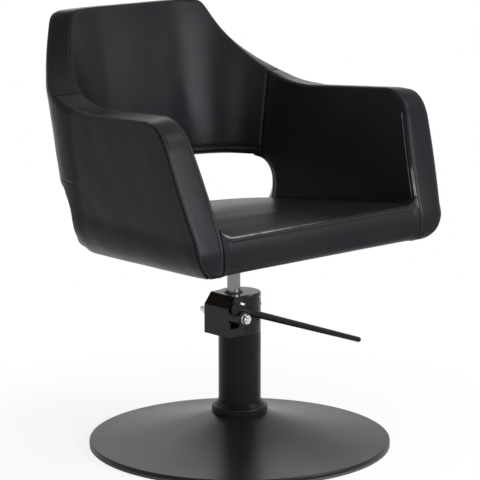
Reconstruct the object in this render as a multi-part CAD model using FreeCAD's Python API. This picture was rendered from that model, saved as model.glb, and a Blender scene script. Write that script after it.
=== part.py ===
"""Hydraulic salon chair: an upholstered tub seat that turns and rises on a foot-pumped column."""
import FreeCAD, Part
import math
import os
from FreeCAD import Placement, Rotation, Vector

# Fits, tool overruns and turns
slip_gap = 0.05
seat_gap = 0.1
pad_gap = 0.3
cushion_gap = 0.45
overrun = 5.0
full_turn = 360.0
quarter_turn = 90.0
hexagon_sides = 6
upright_share = 0.5

# Round floor base
base_radius = 285.0
ring_height = 6.0
ring_width = 5.0
ring_lip = 1.6
plate_thickness = 5.0
sheet = 2.5
rim_height = 7.0
rim_round = 3.0
flare_sag = 8.0
neck_height = 64.0
neck_clearance = 4.0

# Collar where the column leaves the base
collar_radius = 53.0
collar_skirt_height = 15.0
collar_height = 22.0
collar_round = 4.0

# Column tube and foot
column_radius = 40.0
column_wall = 4.0
foot_radius = 75.0
foot_thickness = 10.0
foot_pitch_radius = 60.0
foot_bolt_count = 4
foot_bolt_first_turn = 45.0
foot_bolt_radius = 6.0
foot_bolt_flats = 19.0
foot_bolt_head = 8.0
foot_hole_clearance = 0.5
foot_bolt_tip_rise = 1.0

# Pump head casting
head_bottom = 220.0
head_top = 296.0
head_spigot = 8.0
head_edge_round = 2.0
block_reach = 58.5
block_half_width = 34.0
block_shoulder_reach = 42.0
block_shoulder_height = 275.0
block_wall = 4.0
pocket_inner_x = 33.0
pocket_floor = 236.0
pocket_window_top = 250.0
pocket_roof_wall = 5.0
front_wall = 6.0

# Lifting ram, off the column's centre towards the block
ram_offset = 15.0
ram_radius = 12.5
ram_bottom = 80.0
ram_top = 384.0
ram_nose_height = 22.0
ram_nose_radius = 10.0
ram_nose_chamfer = 1.5
piston_radius = 15.9
piston_height = 18.0
piston_groove_depth = 2.2
piston_groove_height = 5.0
cylinder_inner_radius = 16.0
cylinder_wall = 2.5
cylinder_socket_depth = 6.0
guide_radius = 15.0
guide_length = 44.0
wiper_radius = 17.5
wiper_depth = 4.0
wiper_stand = 2.0

# Pedal shaft across the block
shaft_x = 48.0
shaft_height = 261.0
shaft_radius = 5.0
shaft_front = 78.0
shaft_rear = 52.0
bush_radius = 7.0
washer_radius = 9.5
washer_thickness = 1.6
nut_flats = 16.0
nut_height = 7.0
cam_hub_radius = 7.0
cam_hub_length = 16.0
cam_reach = 10.0
cam_nose_radius = 3.5
cam_thickness = 9.0
cam_clearance = 0.3

# Pedal crank and rod
hub_radius = 14.0
hub_length = 30.0
pedal_slope = 19.0
pedal_lift = 14.0
boss_radius = 10.5
boss_half_length = 14.0
rod_root_radius = 7.0
rod_tip_radius = 5.2
rod_length = 339.0
rod_socket_depth = 20.0
clamp_screw_radius = 3.0
clamp_screw_head_radius = 4.6
clamp_screw_head = 3.5

# Pump plunger under the cam
plunger_radius = 3.0
plunger_flange_radius = 4.0
plunger_flange_height = 2.0
plunger_flange_drop = 9.0
plunger_tail = 7.0
spring_wire = 1.0
spring_mean_radius = 3.75
spring_turns = 5
spring_end_gap = 0.3

# Small fittings on the column
plug_radius = 7.0
plug_height = 222.0
plug_stand = 2.6
plug_depth = 3.0
plug_round = 1.2
screw_radius = 2.2
screw_stand = 1.2
screw_depth = 6.0
screw_turns = (-66.0, -48.0)
screw_heights = (289.0, 273.0)

# Swivel socket and mounting plate under the seat
socket_bottom = 345.0
socket_radius = 29.0
socket_neck_radius = 22.0
socket_flange_height = 12.0
socket_bore_clearance = 0.05
thrust_ring_height = 2.0
under_tilt = 2.3
under_height = 386.0
mount_plate_half = 90.0
mount_plate_thickness = 6.0
mount_plate_corner = 14.0
mount_pitch_half = 70.0
mount_bolt_radius = 4.0
mount_bolt_head_radius = 7.0
mount_bolt_head = 4.0
mount_hole_clearance = 0.4
tee_flange_radius = 11.0
tee_flange = 1.6
tee_barrel_radius = 5.2
board_thickness = 15.0
board_inset = 34.0
board_chamfer = 3.0

# Tub wall: a leaning wall that runs round two rear corners
corner_x = 88.0
corner_y = 105.0
wall_height_ref = 467.0
wall_radius_ref = 174.6
wall_lean_share = 0.15
wall_thick_low = 62.0
wall_thick_high = 53.0
wall_thick_height = 676.0
arm_splay = 7.0
seam_turn = 19.5
wall_mid_radius = 182.0
edge_round = 8.0
pad_lower_round = 16.0
back_turns = (26.0, 33.0, 41.0, 49.0, 56.0, 61.0, 65.0, 69.0, 74.0, 81.0, 90.0)
arm_run_shares = (1.0, 0.75, 0.5, 0.25, 0.0)
outline_overrun_share = 1.15
face_crown = 3.5
rim_fall = 5.0

# Top outline along the wall, measured from the middle of the back
back_top = 815.0
top_corner_radius = 30.0
sweep_radius = 290.0
sweep_foot = 420.0
arm_top = 659.0
arm_rise_share = 0.06

# Front profile of arms and seat
front_y = 245.0
front_lean_height = 443.0
front_lean = 18.3
arm_corner_radius = 62.0
front_blend_radius = 70.0
front_foot_radius = 22.0

# Seat surface and underside
seat_front_height = 466.0
seat_fall_share = 0.08
seat_crown = 9.0
seat_crown_shares = ((-0.1, 0.3), (0.15, 0.9), (0.4, 1.0), (0.65, 0.8), (0.9, 0.1), (1.1, 0.1))
tub_round_width = 38.0
tub_round_front = 62.0
tub_round_rear = 84.0
tub_bow_share = 0.18
rail_round_share = 0.45

# Lumbar window
window_bottom = 431.0
window_top = 516.0
window_tip_x = 199.0
window_tip_y = 121.0
window_skew = 47.5
window_foot_turn = 31.0

# Wooden frame inside the upholstery
frame_board = 12.0
frame_cover = 27.0
frame_margin = 26.0
frame_foot_gap = 0.3
frame_edge_round = 2.0
frame_seam_turn = 22.5
arm_board_share = 0.82
back_board_low = 545.0
frame_screw_radius = 2.5
frame_screw_head_radius = 4.5
frame_screw_head = 3.0
frame_screw_bite = 18.0
frame_screw_count = 3
frame_screw_pitch = 85.0
frame_screw_start = 75.0

# Values that follow from those above
cover_bottom = ring_height
rim_top = ring_height + rim_height
block_x = -block_reach
ram_x = -ram_offset
axle_x = -shaft_x
foot_top = plate_thickness + foot_thickness
column_inner = column_radius - column_wall
cylinder_radius = cylinder_inner_radius + cylinder_wall
cylinder_bottom = foot_top
nose_x = axle_x + cam_reach
plunger_top = shaft_height - cam_nose_radius - cam_clearance
plunger_flange_top = plunger_top - plunger_flange_drop + cam_nose_radius
ram_shoulder = ram_top - ram_nose_height
under_fall = math.tan(math.radians(under_tilt))
wall_thin_share = (wall_thick_low - wall_thick_high) / (wall_thick_height - wall_height_ref)
seat_line_radius = wall_radius_ref - wall_thick_low
bend_share = 1 - math.sqrt(0.5)

nodes = {}


def x_axis():
    return Vector(1, 0, 0)


def y_axis():
    return Vector(0, 1, 0)


def z_axis():
    return Vector(0, 0, 1)


def rod(radius, length, start, direction):
    """Round bar from start along direction."""
    return Part.makeCylinder(radius, length, start, direction)


def block(low, high):
    """Box between two corners."""
    size = high - low
    return Part.makeBox(size.x, size.y, size.z, low)


def segment(first, second):
    return Part.LineSegment(first, second).toShape()


def arc(first, middle, last):
    return Part.Arc(first, middle, last).toShape()


def turned(edges, centre_x):
    """Solid of revolution about the upright axis through centre_x."""
    face = Part.Face(Part.Wire(edges))
    return face.revolve(Vector(centre_x, 0, 0), z_axis(), full_turn)


def turned_points(points, centre_x):
    """Solid of revolution whose half section is a polygon of radius and height."""
    corners = [Vector(centre_x + radius, 0, height) for radius, height in points]
    ends = corners[1:] + corners[:1]
    return turned([segment(a, b) for a, b in zip(corners, ends)], centre_x)


def tube(outer, inner, low, high, centre_x):
    return turned_points([(inner, low), (outer, low), (outer, high), (inner, high)], centre_x)


def hexagon(flats, height, start, direction):
    """Hexagonal bar from start along direction."""
    corner = flats / math.sqrt(3)
    turns = [math.radians(full_turn / hexagon_sides * side) for side in range(hexagon_sides + 1)]
    ring = [Vector(corner * math.cos(turn), corner * math.sin(turn), 0) for turn in turns]
    shape = Part.Face(Part.makePolygon(ring)).extrude(Vector(0, 0, height))
    shape.Placement = Placement(start, Rotation(z_axis(), direction))
    return shape


def prism_y(points, low_y, high_y):
    """Straight body along Y whose outline is a polygon of x and height."""
    ring = [Vector(x, low_y, z) for x, z in points]
    face = Part.Face(Part.makePolygon(ring + ring[:1]))
    return face.extrude(Vector(0, high_y - low_y, 0))


def fused(shapes):
    body = shapes[0]
    for extra in shapes[1:]:
        body = body.fuse(extra)
    return body.removeSplitter()


def mirrored(shape):
    """The same piece on the other side of the seat's middle."""
    return shape.mirror(Vector(ram_x, 0, 0), x_axis())


def keep(name, shape):
    nodes[name] = shape


def floor_ring():
    """Rubber ring that the base stands on, round the edge of the floor plate."""
    inner = base_radius - ring_width
    points = [
        (inner, 0), (base_radius - ring_lip, 0), (base_radius, ring_lip), (base_radius, ring_height),
        (inner, ring_height),
    ]
    keep("floor_ring", turned_points(points, 0))


def foot_bolt_places():
    places = []
    for step in range(foot_bolt_count):
        turn = math.radians(foot_bolt_first_turn + full_turn / foot_bolt_count * step)
        places.append(Vector(math.cos(turn), math.sin(turn), 0) * foot_pitch_radius)
    return places


def floor_plate():
    """Heavy steel disc with the tapped holes for the pump's foot."""
    plate = rod(base_radius - ring_width - seat_gap, plate_thickness, Vector(0, 0, 0), z_axis())
    for place in foot_bolt_places():
        plate = plate.cut(rod(foot_bolt_radius + seat_gap, plate_thickness, place, z_axis()))
    keep("floor_plate", plate)


def base_cover():
    """Pressed sheet cone that rises from the floor ring to the collar."""
    foot = base_radius - rim_round
    neck = collar_radius - collar_round
    hole = column_radius + neck_clearance
    middle = (foot + neck) / 2
    middle_height = (rim_top + neck_height) / 2 - flare_sag
    bend = rim_round * bend_share
    inner_foot = foot - sheet
    inner_rim = base_radius - sheet
    inner_edge = rim_top - sheet - rim_round / 2

    def at(radius, height):
        return Vector(radius, 0, height)

    edges = [
        segment(at(base_radius, cover_bottom), at(base_radius, rim_top - rim_round)),
        arc(at(base_radius, rim_top - rim_round), at(base_radius - bend, rim_top - bend), at(foot, rim_top)),
        arc(at(foot, rim_top), at(middle, middle_height), at(neck, neck_height)),
        segment(at(neck, neck_height), at(hole, neck_height)),
        segment(at(hole, neck_height), at(hole, neck_height - sheet)),
        segment(at(hole, neck_height - sheet), at(neck, neck_height - sheet)),
        arc(at(neck, neck_height - sheet), at(middle, middle_height - sheet),
            at(inner_foot, rim_top - sheet)),
        segment(at(inner_foot, rim_top - sheet), at(inner_rim, inner_edge)),
        segment(at(inner_rim, inner_edge), at(inner_rim, cover_bottom)),
        segment(at(inner_rim, cover_bottom), at(base_radius, cover_bottom)),
    ]
    keep("base_cover", turned(edges, 0))


def base_collar():
    """Moulded ring that closes the base cover round the column."""
    inner = column_radius + seat_gap
    low = neck_height
    shoulder = low + collar_skirt_height
    top = low + collar_height
    bend = collar_round * bend_share

    def at(radius, height):
        return Vector(radius, 0, height)

    edges = [
        segment(at(inner, low), at(collar_radius, low)),
        segment(at(collar_radius, low), at(collar_radius, shoulder - collar_round)),
        arc(at(collar_radius, shoulder - collar_round), at(collar_radius - bend, shoulder - bend),
            at(collar_radius - collar_round, shoulder)),
        segment(at(collar_radius - collar_round, shoulder), at(inner + sheet, top)),
        segment(at(inner + sheet, top), at(inner, top)),
        segment(at(inner, top), at(inner, low)),
    ]
    keep("base_collar", turned(edges, 0))


def column_tube():
    """Column tube welded to its bolted foot flange."""
    points = [
        (column_inner, plate_thickness), (foot_radius, plate_thickness), (foot_radius, foot_top),
        (column_radius, foot_top), (column_radius, head_bottom), (column_inner, head_bottom),
    ]
    body = turned_points(points, 0)
    floor = rod(column_inner, foot_thickness, Vector(0, 0, plate_thickness), z_axis())
    body = body.fuse(floor).removeSplitter()
    hole = foot_bolt_radius + foot_hole_clearance
    for place in foot_bolt_places():
        body = body.cut(rod(hole, foot_thickness, place + Vector(0, 0, plate_thickness), z_axis()))
    keep("column_tube", body)


def foot_bolts():
    """Bolts that hold the column's foot to the floor plate."""
    bolts = []
    for place in foot_bolt_places():
        head = hexagon(foot_bolt_flats, foot_bolt_head, place + Vector(0, 0, foot_top), z_axis())
        length = foot_top - foot_bolt_tip_rise
        shank = rod(foot_bolt_radius, length, place + Vector(0, 0, foot_bolt_tip_rise), z_axis())
        bolts.append(head.fuse(shank).removeSplitter())
    keep("foot_bolts", Part.makeCompound(bolts))


def pressure_cylinder():
    """Inner cylinder in which the ram's piston slides."""
    top = head_bottom - head_spigot + cylinder_socket_depth
    body = tube(cylinder_radius, cylinder_inner_radius, cylinder_bottom, top, ram_x)
    keep("pressure_cylinder", body)


def pump_head():
    """Casting on the column: round head, pedal block with its pocket, and the ram's gland bore."""
    height = head_top - head_bottom
    drum = rod(column_radius, height, Vector(0, 0, head_bottom), z_axis())
    top_edges = [edge for edge in drum.Edges if edge.CenterOfMass.z > head_top - seat_gap]
    drum = drum.makeFillet(head_edge_round, top_edges)
    outline = [
        (0, head_bottom), (block_x, head_bottom), (block_x, block_shoulder_height),
        (-block_shoulder_reach, head_top), (0, head_top),
    ]
    side = prism_y(outline, -block_half_width, block_half_width)
    spigot = rod(column_inner - seat_gap, head_spigot, Vector(0, 0, head_bottom - head_spigot), z_axis())
    body = fused([drum, side, spigot])

    roof = head_top - pocket_roof_wall
    shoulder_drop = head_top - block_shoulder_height
    pocket_outer_x = block_x + block_wall
    pocket = [
        (-pocket_inner_x, pocket_floor), (pocket_outer_x, pocket_floor),
        (pocket_outer_x, roof - shoulder_drop), (-block_shoulder_reach + block_wall, roof),
        (-pocket_inner_x, roof),
    ]
    inner_half = block_half_width - front_wall
    body = body.cut(prism_y(pocket, -inner_half, inner_half))
    low = Vector(pocket_outer_x, -block_half_width - overrun, pocket_floor)
    high = Vector(-pocket_inner_x, -inner_half, pocket_window_top)
    body = body.cut(block(low, high))

    spigot_bottom = head_bottom - head_spigot
    socket_top = spigot_bottom + cylinder_socket_depth
    socket = rod(cylinder_radius + seat_gap, cylinder_socket_depth, Vector(ram_x, 0, spigot_bottom), z_axis())
    gallery = rod(cylinder_inner_radius, head_top - wiper_depth - guide_length - socket_top,
                  Vector(ram_x, 0, socket_top), z_axis())
    guide_seat = rod(guide_radius + seat_gap, head_top - socket_top, Vector(ram_x, 0, socket_top), z_axis())
    wiper_seat = rod(wiper_radius + seat_gap, wiper_depth, Vector(ram_x, 0, head_top - wiper_depth), z_axis())
    for hollow in (socket, gallery, guide_seat, wiper_seat):
        body = body.cut(hollow)

    across = 2 * block_half_width + 2 * overrun
    body = body.cut(rod(bush_radius + seat_gap, across, Vector(axle_x, -across / 2, shaft_height), y_axis()))
    bore_depth = pocket_floor - head_bottom
    bore = rod(plunger_radius + slip_gap, bore_depth, Vector(nose_x, 0, head_bottom), z_axis())
    body = body.cut(bore)
    for place, outward in screw_places():
        body = body.cut(rod(screw_radius + seat_gap, screw_depth, place - outward * screw_depth, outward))
    plug_start = Vector(column_radius - plug_depth, 0, plug_height + plug_radius)
    body = body.cut(rod(plug_radius + seat_gap, plug_depth + overrun, plug_start, x_axis()))
    keep("pump_head", body)


def screw_places():
    """Where the head's small set screws sit, with the way that each faces."""
    places = []
    for turn, height in zip(screw_turns, screw_heights):
        outward = Vector(math.cos(math.radians(turn)), math.sin(math.radians(turn)), 0)
        places.append((outward * column_radius + Vector(0, 0, height), outward))
    return places


def head_fittings():
    """Set screws and oil plug of the pump head."""
    screws = []
    for place, outward in screw_places():
        length = screw_depth + screw_stand
        screws.append(rod(screw_radius, length, place - outward * screw_depth, outward))
    keep("head_screws", Part.makeCompound(screws))
    length = plug_depth + plug_stand
    start = Vector(column_radius - plug_depth, 0, plug_height + plug_radius)
    plug = rod(plug_radius, length, start, x_axis())
    face_x = column_radius + plug_stand
    rim = [edge for edge in plug.Edges if abs(edge.CenterOfMass.x - face_x) < seat_gap]
    keep("oil_plug", plug.makeFillet(plug_round, rim))


def ram_bearings():
    """Bronze guide and rubber wiper round the ram."""
    guide_top = head_top - wiper_depth
    inner = ram_radius + slip_gap
    keep("ram_guide", tube(guide_radius, inner, guide_top - guide_length, guide_top, ram_x))
    top = head_top + wiper_stand
    lip = wiper_stand
    points = [(inner, guide_top), (wiper_radius, guide_top), (wiper_radius, head_top),
              (wiper_radius - lip, top), (inner, top)]
    keep("ram_wiper", turned_points(points, ram_x))


def ram_parts():
    """Chromed ram with its stepped nose, and the piston and seal on its foot."""
    tip_radius = ram_nose_radius - ram_nose_chamfer
    points = [
        (0, ram_bottom), (ram_radius, ram_bottom),
        (ram_radius, ram_shoulder), (ram_nose_radius, ram_shoulder),
        (ram_nose_radius, ram_top - ram_nose_chamfer), (tip_radius, ram_top), (0, ram_top),
    ]
    keep("ram", turned_points(points, ram_x))
    low = ram_bottom - piston_height
    groove_low = low + (piston_height - piston_groove_height) / 2
    groove_high = groove_low + piston_groove_height
    groove = piston_radius - piston_groove_depth
    points = [
        (0, low), (piston_radius, low), (piston_radius, groove_low), (groove, groove_low),
        (groove, groove_high), (piston_radius, groove_high), (piston_radius, ram_bottom), (0, ram_bottom),
    ]
    keep("piston", turned_points(points, ram_x))
    seal_low = groove_low + seat_gap
    seal_high = groove_high - seat_gap
    keep("piston_seal", tube(piston_radius, groove + seat_gap, seal_low, seal_high, ram_x))


def shaft_fittings():
    """Shaft that the pedal turns, with its bushes, washers and nuts."""
    start = Vector(axle_x, -shaft_front, shaft_height)
    shaft = rod(shaft_radius, shaft_front + shaft_rear, start, y_axis())
    keep("pedal_shaft", shaft)
    bushes = []
    for side in (-1, 1):
        inner_end = Vector(axle_x, side * (block_half_width - front_wall), shaft_height)
        bush = rod(bush_radius, front_wall, inner_end, y_axis() * side)
        hole = rod(shaft_radius + slip_gap, front_wall, inner_end, y_axis() * side)
        bushes.append(bush.cut(hole))
    keep("shaft_bushes", Part.makeCompound(bushes))

    hub_rear = block_half_width + pad_gap + washer_thickness
    hub_front = hub_rear + hub_length
    rear_face = block_half_width + pad_gap
    washers = []
    washer_starts = (-hub_rear, -hub_front - washer_thickness, rear_face)
    for start_y in washer_starts:
        start = Vector(axle_x, start_y, shaft_height)
        disc = rod(washer_radius, washer_thickness, start, y_axis())
        washers.append(disc.cut(rod(shaft_radius, washer_thickness, start, y_axis())))
    keep("shaft_washers", Part.makeCompound(washers))

    nuts = []
    front_start = -hub_front - washer_thickness
    for start_y, way in ((front_start, -1), (rear_face + washer_thickness, 1)):
        start = Vector(axle_x, start_y, shaft_height)
        nut = hexagon(nut_flats, nut_height, start, Vector(0, way, 0))
        nuts.append(nut.cut(rod(shaft_radius, nut_height, start, Vector(0, way, 0))))
    keep("shaft_nuts", Part.makeCompound(nuts))


def pedal_direction():
    slope = math.radians(pedal_slope)
    return Vector(math.cos(slope), 0, -math.sin(slope))


def pedal_normal():
    slope = math.radians(pedal_slope)
    return Vector(math.sin(slope), 0, math.cos(slope))


def pedal_parts():
    """Crank hub with its cross boss, the tapered rod, the clamp screw and the cam."""
    hub_rear = -block_half_width - pad_gap - washer_thickness
    middle_y = hub_rear - hub_length / 2
    axle = Vector(axle_x, 0, shaft_height)
    along = pedal_direction()
    upward = pedal_normal()
    boss_centre = Vector(axle_x, middle_y, shaft_height) + upward * pedal_lift
    hub_start = Vector(axle_x, hub_rear - hub_length, shaft_height)
    hub = rod(hub_radius, hub_length, hub_start, y_axis())
    boss = rod(boss_radius, 2 * boss_half_length, boss_centre - along * boss_half_length, along)
    crank = fused([hub, boss])
    crank = crank.cut(rod(shaft_radius, hub_length, hub_start, y_axis()))
    socket_start = boss_centre + along * (boss_half_length - rod_socket_depth)
    crank = crank.cut(rod(rod_root_radius, rod_socket_depth + overrun, socket_start, along))
    screw_start = boss_centre + upward * boss_radius
    screw_length = boss_radius - rod_root_radius
    crank = crank.cut(rod(clamp_screw_radius, 2 * boss_radius, boss_centre, upward))
    keep("pedal_hub", crank)

    taper = Part.makeCone(rod_root_radius, rod_tip_radius, rod_length - rod_tip_radius, socket_start, along)
    tip = Part.makeSphere(rod_tip_radius, socket_start + along * (rod_length - rod_tip_radius))
    keep("pedal_rod", fused([taper, tip]))

    head = rod(clamp_screw_head_radius, clamp_screw_head, screw_start, upward)
    shank = rod(clamp_screw_radius - slip_gap, screw_length, boss_centre + upward * rod_root_radius, upward)
    keep("clamp_screw", head.fuse(shank).removeSplitter())

    cam_start = axle - Vector(0, cam_hub_length / 2, 0)
    body = rod(cam_hub_radius, cam_hub_length, cam_start, y_axis())
    nose_start = Vector(nose_x, -cam_thickness / 2, shaft_height)
    nose = rod(cam_nose_radius, cam_thickness, nose_start, y_axis())
    low = Vector(axle_x, -cam_thickness / 2, shaft_height - cam_nose_radius)
    high = Vector(nose_x, cam_thickness / 2, shaft_height + cam_nose_radius)
    body = fused([body, block(low, high), nose])
    keep("pump_cam", body.cut(rod(shaft_radius, cam_hub_length, cam_start, y_axis())))


def plunger_parts():
    """Plunger that the cam pushes down, and its return spring."""
    bottom = head_bottom + (pocket_floor - head_bottom - plunger_tail) / 2
    stem = rod(plunger_radius, plunger_top - bottom, Vector(nose_x, 0, bottom), z_axis())
    flange_low = plunger_flange_top - plunger_flange_height
    flange = rod(plunger_flange_radius, plunger_flange_height, Vector(nose_x, 0, flange_low), z_axis())
    keep("pump_plunger", fused([stem, flange]))
    low = pocket_floor + spring_end_gap + spring_wire / 2
    high = flange_low - spring_end_gap - spring_wire / 2
    keep("plunger_spring", coil(nose_x, low, high))


def coil(centre_x, low, high):
    """Round wire wound up an upright helix in quarter turns."""
    steps = int(spring_turns * full_turn / quarter_turn)

    def at(step):
        turn = math.radians(quarter_turn * step)
        height = low + (high - low) * step / steps
        return Vector(math.cos(turn), math.sin(turn), 0) * spring_mean_radius + Vector(centre_x, 0, height)

    path = Part.Wire([arc(at(step), at(step + 0.5), at(step + 1)) for step in range(steps)])
    pitch = (high - low) / spring_turns
    print("least gap between spring turns", round(pitch - spring_wire, 2))
    start = path.Edges[0]
    tangent = start.tangentAt(start.FirstParameter)
    section = Part.Wire(Part.makeCircle(spring_wire / 2, at(0), tangent))
    return path.makePipeShell([section], True, False)


def tilted(shape):
    """Lay a piece that is built about the ram's axis on the seat's tilted underside."""
    turn = Rotation(x_axis(), -under_tilt)
    shape.Placement = Placement(Vector(ram_x, 0, under_height), turn).multiply(shape.Placement)
    return shape


def swivel_parts():
    """Socket that turns on the ram, its thrust ring and the plate welded to it."""
    bore = ram_radius + socket_bore_clearance
    nose = ram_nose_radius + socket_bore_clearance
    flange_low = under_height - mount_plate_thickness - socket_flange_height
    top = under_height
    points = [
        (bore, socket_bottom), (socket_neck_radius, socket_bottom), (socket_neck_radius, flange_low),
        (socket_radius, flange_low), (socket_radius, top), (nose, top),
        (nose, ram_shoulder + thrust_ring_height), (bore, ram_shoulder + thrust_ring_height),
    ]
    socket = turned_points(points, ram_x)
    reach = 2 * mount_plate_half
    slab_low = Vector(-reach, -reach, -mount_plate_thickness)
    slab = tilted(block(slab_low, Vector(reach, reach, reach)))
    keep("swivel_socket", socket.cut(slab))
    ring_low = ram_shoulder
    ring_high = ring_low + thrust_ring_height - seat_gap
    keep("thrust_ring", tube(ram_radius - seat_gap, nose, ring_low, ring_high, ram_x))

    half = mount_plate_half
    plate = block(Vector(-half, -half, -mount_plate_thickness), Vector(half, half, 0))
    corners = [edge for edge in plate.Edges if abs(edge.tangentAt(edge.FirstParameter).z) > upright_share]
    plate = plate.makeFillet(mount_plate_corner, corners)
    drop = Vector(0, 0, -mount_plate_thickness)
    plate = plate.cut(rod(nose + mount_hole_clearance, mount_plate_thickness, drop, z_axis()))
    for place in mount_places():
        hole = rod(mount_bolt_radius + mount_hole_clearance, mount_plate_thickness, place + drop, z_axis())
        plate = plate.cut(hole)
    keep("mount_plate", tilted(plate))


def mount_places():
    pitch = mount_pitch_half
    return [Vector(x, y, 0) for x in (-pitch, pitch) for y in (-pitch, pitch)]


def mount_fasteners():
    """Bolts up through the plate and the tee nuts in the seat board that take them."""
    bolts = []
    nuts = []
    for place in mount_places():
        base = place - Vector(0, 0, mount_plate_thickness)
        head = rod(mount_bolt_head_radius, mount_bolt_head, base - Vector(0, 0, mount_bolt_head), z_axis())
        shank = rod(mount_bolt_radius, mount_plate_thickness + board_thickness, base, z_axis())
        bolts.append(head.fuse(shank).removeSplitter())
        barrel_low = place + Vector(0, 0, board_thickness / 2)
        barrel = rod(tee_barrel_radius, board_thickness / 2, barrel_low, z_axis())
        flange = rod(tee_flange_radius, tee_flange, place + Vector(0, 0, board_thickness), z_axis())
        nut = barrel.fuse(flange).removeSplitter()
        nuts.append(nut.cut(rod(mount_bolt_radius + slip_gap, board_thickness + tee_flange, place, z_axis())))
    keep("mount_bolts", tilted(Part.makeCompound(bolts)))
    keep("tee_nuts", tilted(Part.makeCompound(nuts)))


def underside(y):
    """Height of the tub's underside at a distance behind the ram."""
    return under_height - under_fall * y


def seat_side(y):
    """Height of the seat surface where it meets the wall."""
    return seat_front_height - seat_fall_share * (y + front_y)


def wall_outer(height):
    """Radius of the wall's outer face at a height, as it would run on below the seat."""
    return wall_radius_ref + wall_lean_share * (height - wall_height_ref)


def wall_thick(height):
    return wall_thick_low - wall_thin_share * (height - wall_height_ref)


def crest(path):
    """Height of the wall's top at a distance from the middle of the back."""
    sweep_centre = arm_top + sweep_radius
    fillet_centre = back_top - top_corner_radius
    reach = math.sqrt((sweep_radius + top_corner_radius) ** 2 - (fillet_centre - sweep_centre) ** 2)
    flat_end = sweep_foot - reach
    fillet_end = sweep_foot - reach * sweep_radius / (sweep_radius + top_corner_radius)
    if path <= flat_end:
        return back_top
    if path <= fillet_end:
        return fillet_centre + math.sqrt(top_corner_radius ** 2 - (path - flat_end) ** 2)
    if path <= sweep_foot:
        return sweep_centre - math.sqrt(sweep_radius ** 2 - (sweep_foot - path) ** 2)
    return arm_top + arm_rise_share * (path - sweep_foot)


def corner_path(turn):
    """Distance from the middle of the back to a turn of the rear corner, in degrees from the side."""
    return corner_x + math.radians(quarter_turn - turn) * wall_mid_radius


def station(turn, forward, inward):
    """Where a wall section stands: its origin and the way that its outer face looks."""
    angle = math.radians(turn)
    outward = Vector(math.cos(angle), math.sin(angle), 0)
    along = Vector(math.sin(angle), -math.cos(angle), 0)
    origin = Vector(ram_x + corner_x - inward, corner_y, 0) + along * forward
    return origin, outward


def section_wire(origin, outward, corners, bulges):
    """Closed wire of edges between corners of radius and height; a bulge bows its edge outwards."""
    spots = [origin + outward * radius + Vector(0, 0, height) for radius, height in corners]
    edges = []
    count = len(spots)
    for index, bulge in enumerate(bulges):
        first = spots[index]
        last = spots[(index + 1) % count]
        if bulge == 0:
            edges.append(segment(first, last))
            continue
        run = last - first
        side = outward.cross(z_axis()).cross(run)
        side.normalize()
        edges.append(arc(first, (first + last) * 0.5 + side * bulge, last))
    return Part.Wire(edges)


def quarter_bulge(first, last):
    """Height of a quarter circle's bow over its chord."""
    chord = math.hypot(last[0] - first[0], last[1] - first[1])
    return chord * (math.sqrt(2) - 1) / 2


def foot_bulge(first, last):
    """Height of the bow under the tub's side, which is flatter than a quarter circle."""
    return tub_bow_share * math.hypot(last[0] - first[0], last[1] - first[1])


def pad_section(place, top, low, inset, crown, round_low):
    """Section of an upright pad or board, inset from the wall's faces."""
    origin, outward = place
    small = edge_round if inset == 0 else frame_edge_round
    fall = rim_fall if inset == 0 else 0
    high = top - inset_drop(inset)
    outer_top = wall_outer(high) - inset
    inner_top = wall_outer(high) - wall_thick(high) + inset
    outer_low = wall_outer(low) - inset
    inner_low = wall_outer(low) - wall_thick(low) + inset
    corners = [
        (inner_low, low + round_low), (inner_top, high - small), (inner_top + small, high),
        (outer_top - small, high - fall), (outer_top, high - fall - small), (outer_low, low + round_low),
        (outer_low - round_low, low), (inner_low + round_low, low),
    ]
    bulges = [
        crown, quarter_bulge(corners[1], corners[2]), 0, quarter_bulge(corners[3], corners[4]),
        crown, quarter_bulge(corners[5], corners[6]), 0, quarter_bulge(corners[7], corners[0]),
    ]
    return section_wire(origin, outward, corners, bulges)


def inset_drop(inset):
    """How far a board inside the pad stays below the pad's top."""
    return 0 if inset == 0 else frame_margin


def back_places(first_turn):
    """Sections round the back from one seam to the other, with their distance along the wall."""
    turns = [first_turn] + [turn for turn in back_turns if turn > first_turn]
    right = [(station(turn, 0, 0), corner_path(turn)) for turn in turns]
    middle = [(station(quarter_turn, 0, corner_x), 0)]
    left = [(mirror_place(place), path) for place, path in reversed(right)]
    return right + middle + left


def mirror_place(place):
    origin, outward = place
    return Vector(2 * ram_x - origin.x, origin.y, origin.z), Vector(-outward.x, outward.y, outward.z)


def back_pad_and_board():
    """Wrap-round back pad above the window and the bent board inside it."""
    places = back_places(seam_turn)
    low = window_top
    wires = [pad_section(place, crest(path), low, 0, face_crown, pad_lower_round) for place, path in places]
    pad = Part.makeLoft(wires, True, False)
    mid = (wall_thick_high - frame_board) / 2

    def board(grow):
        wires = []
        for place, path in back_places(frame_seam_turn):
            top = crest(path) + grow
            wires.append(pad_section(place, top, back_board_low - grow, mid - grow, 0, frame_edge_round))
        return Part.makeLoft(wires, True, False)

    keep("back_pad", pad.cut(board(pad_gap)))
    keep("back_board", board(0))


def tub_round(y):
    """Radius of the rounding between the tub's side and its underside."""
    share = (y + front_y) / (front_y + corner_y + wall_radius_ref)
    return tub_round_front + (tub_round_rear - tub_round_front) * share


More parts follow.
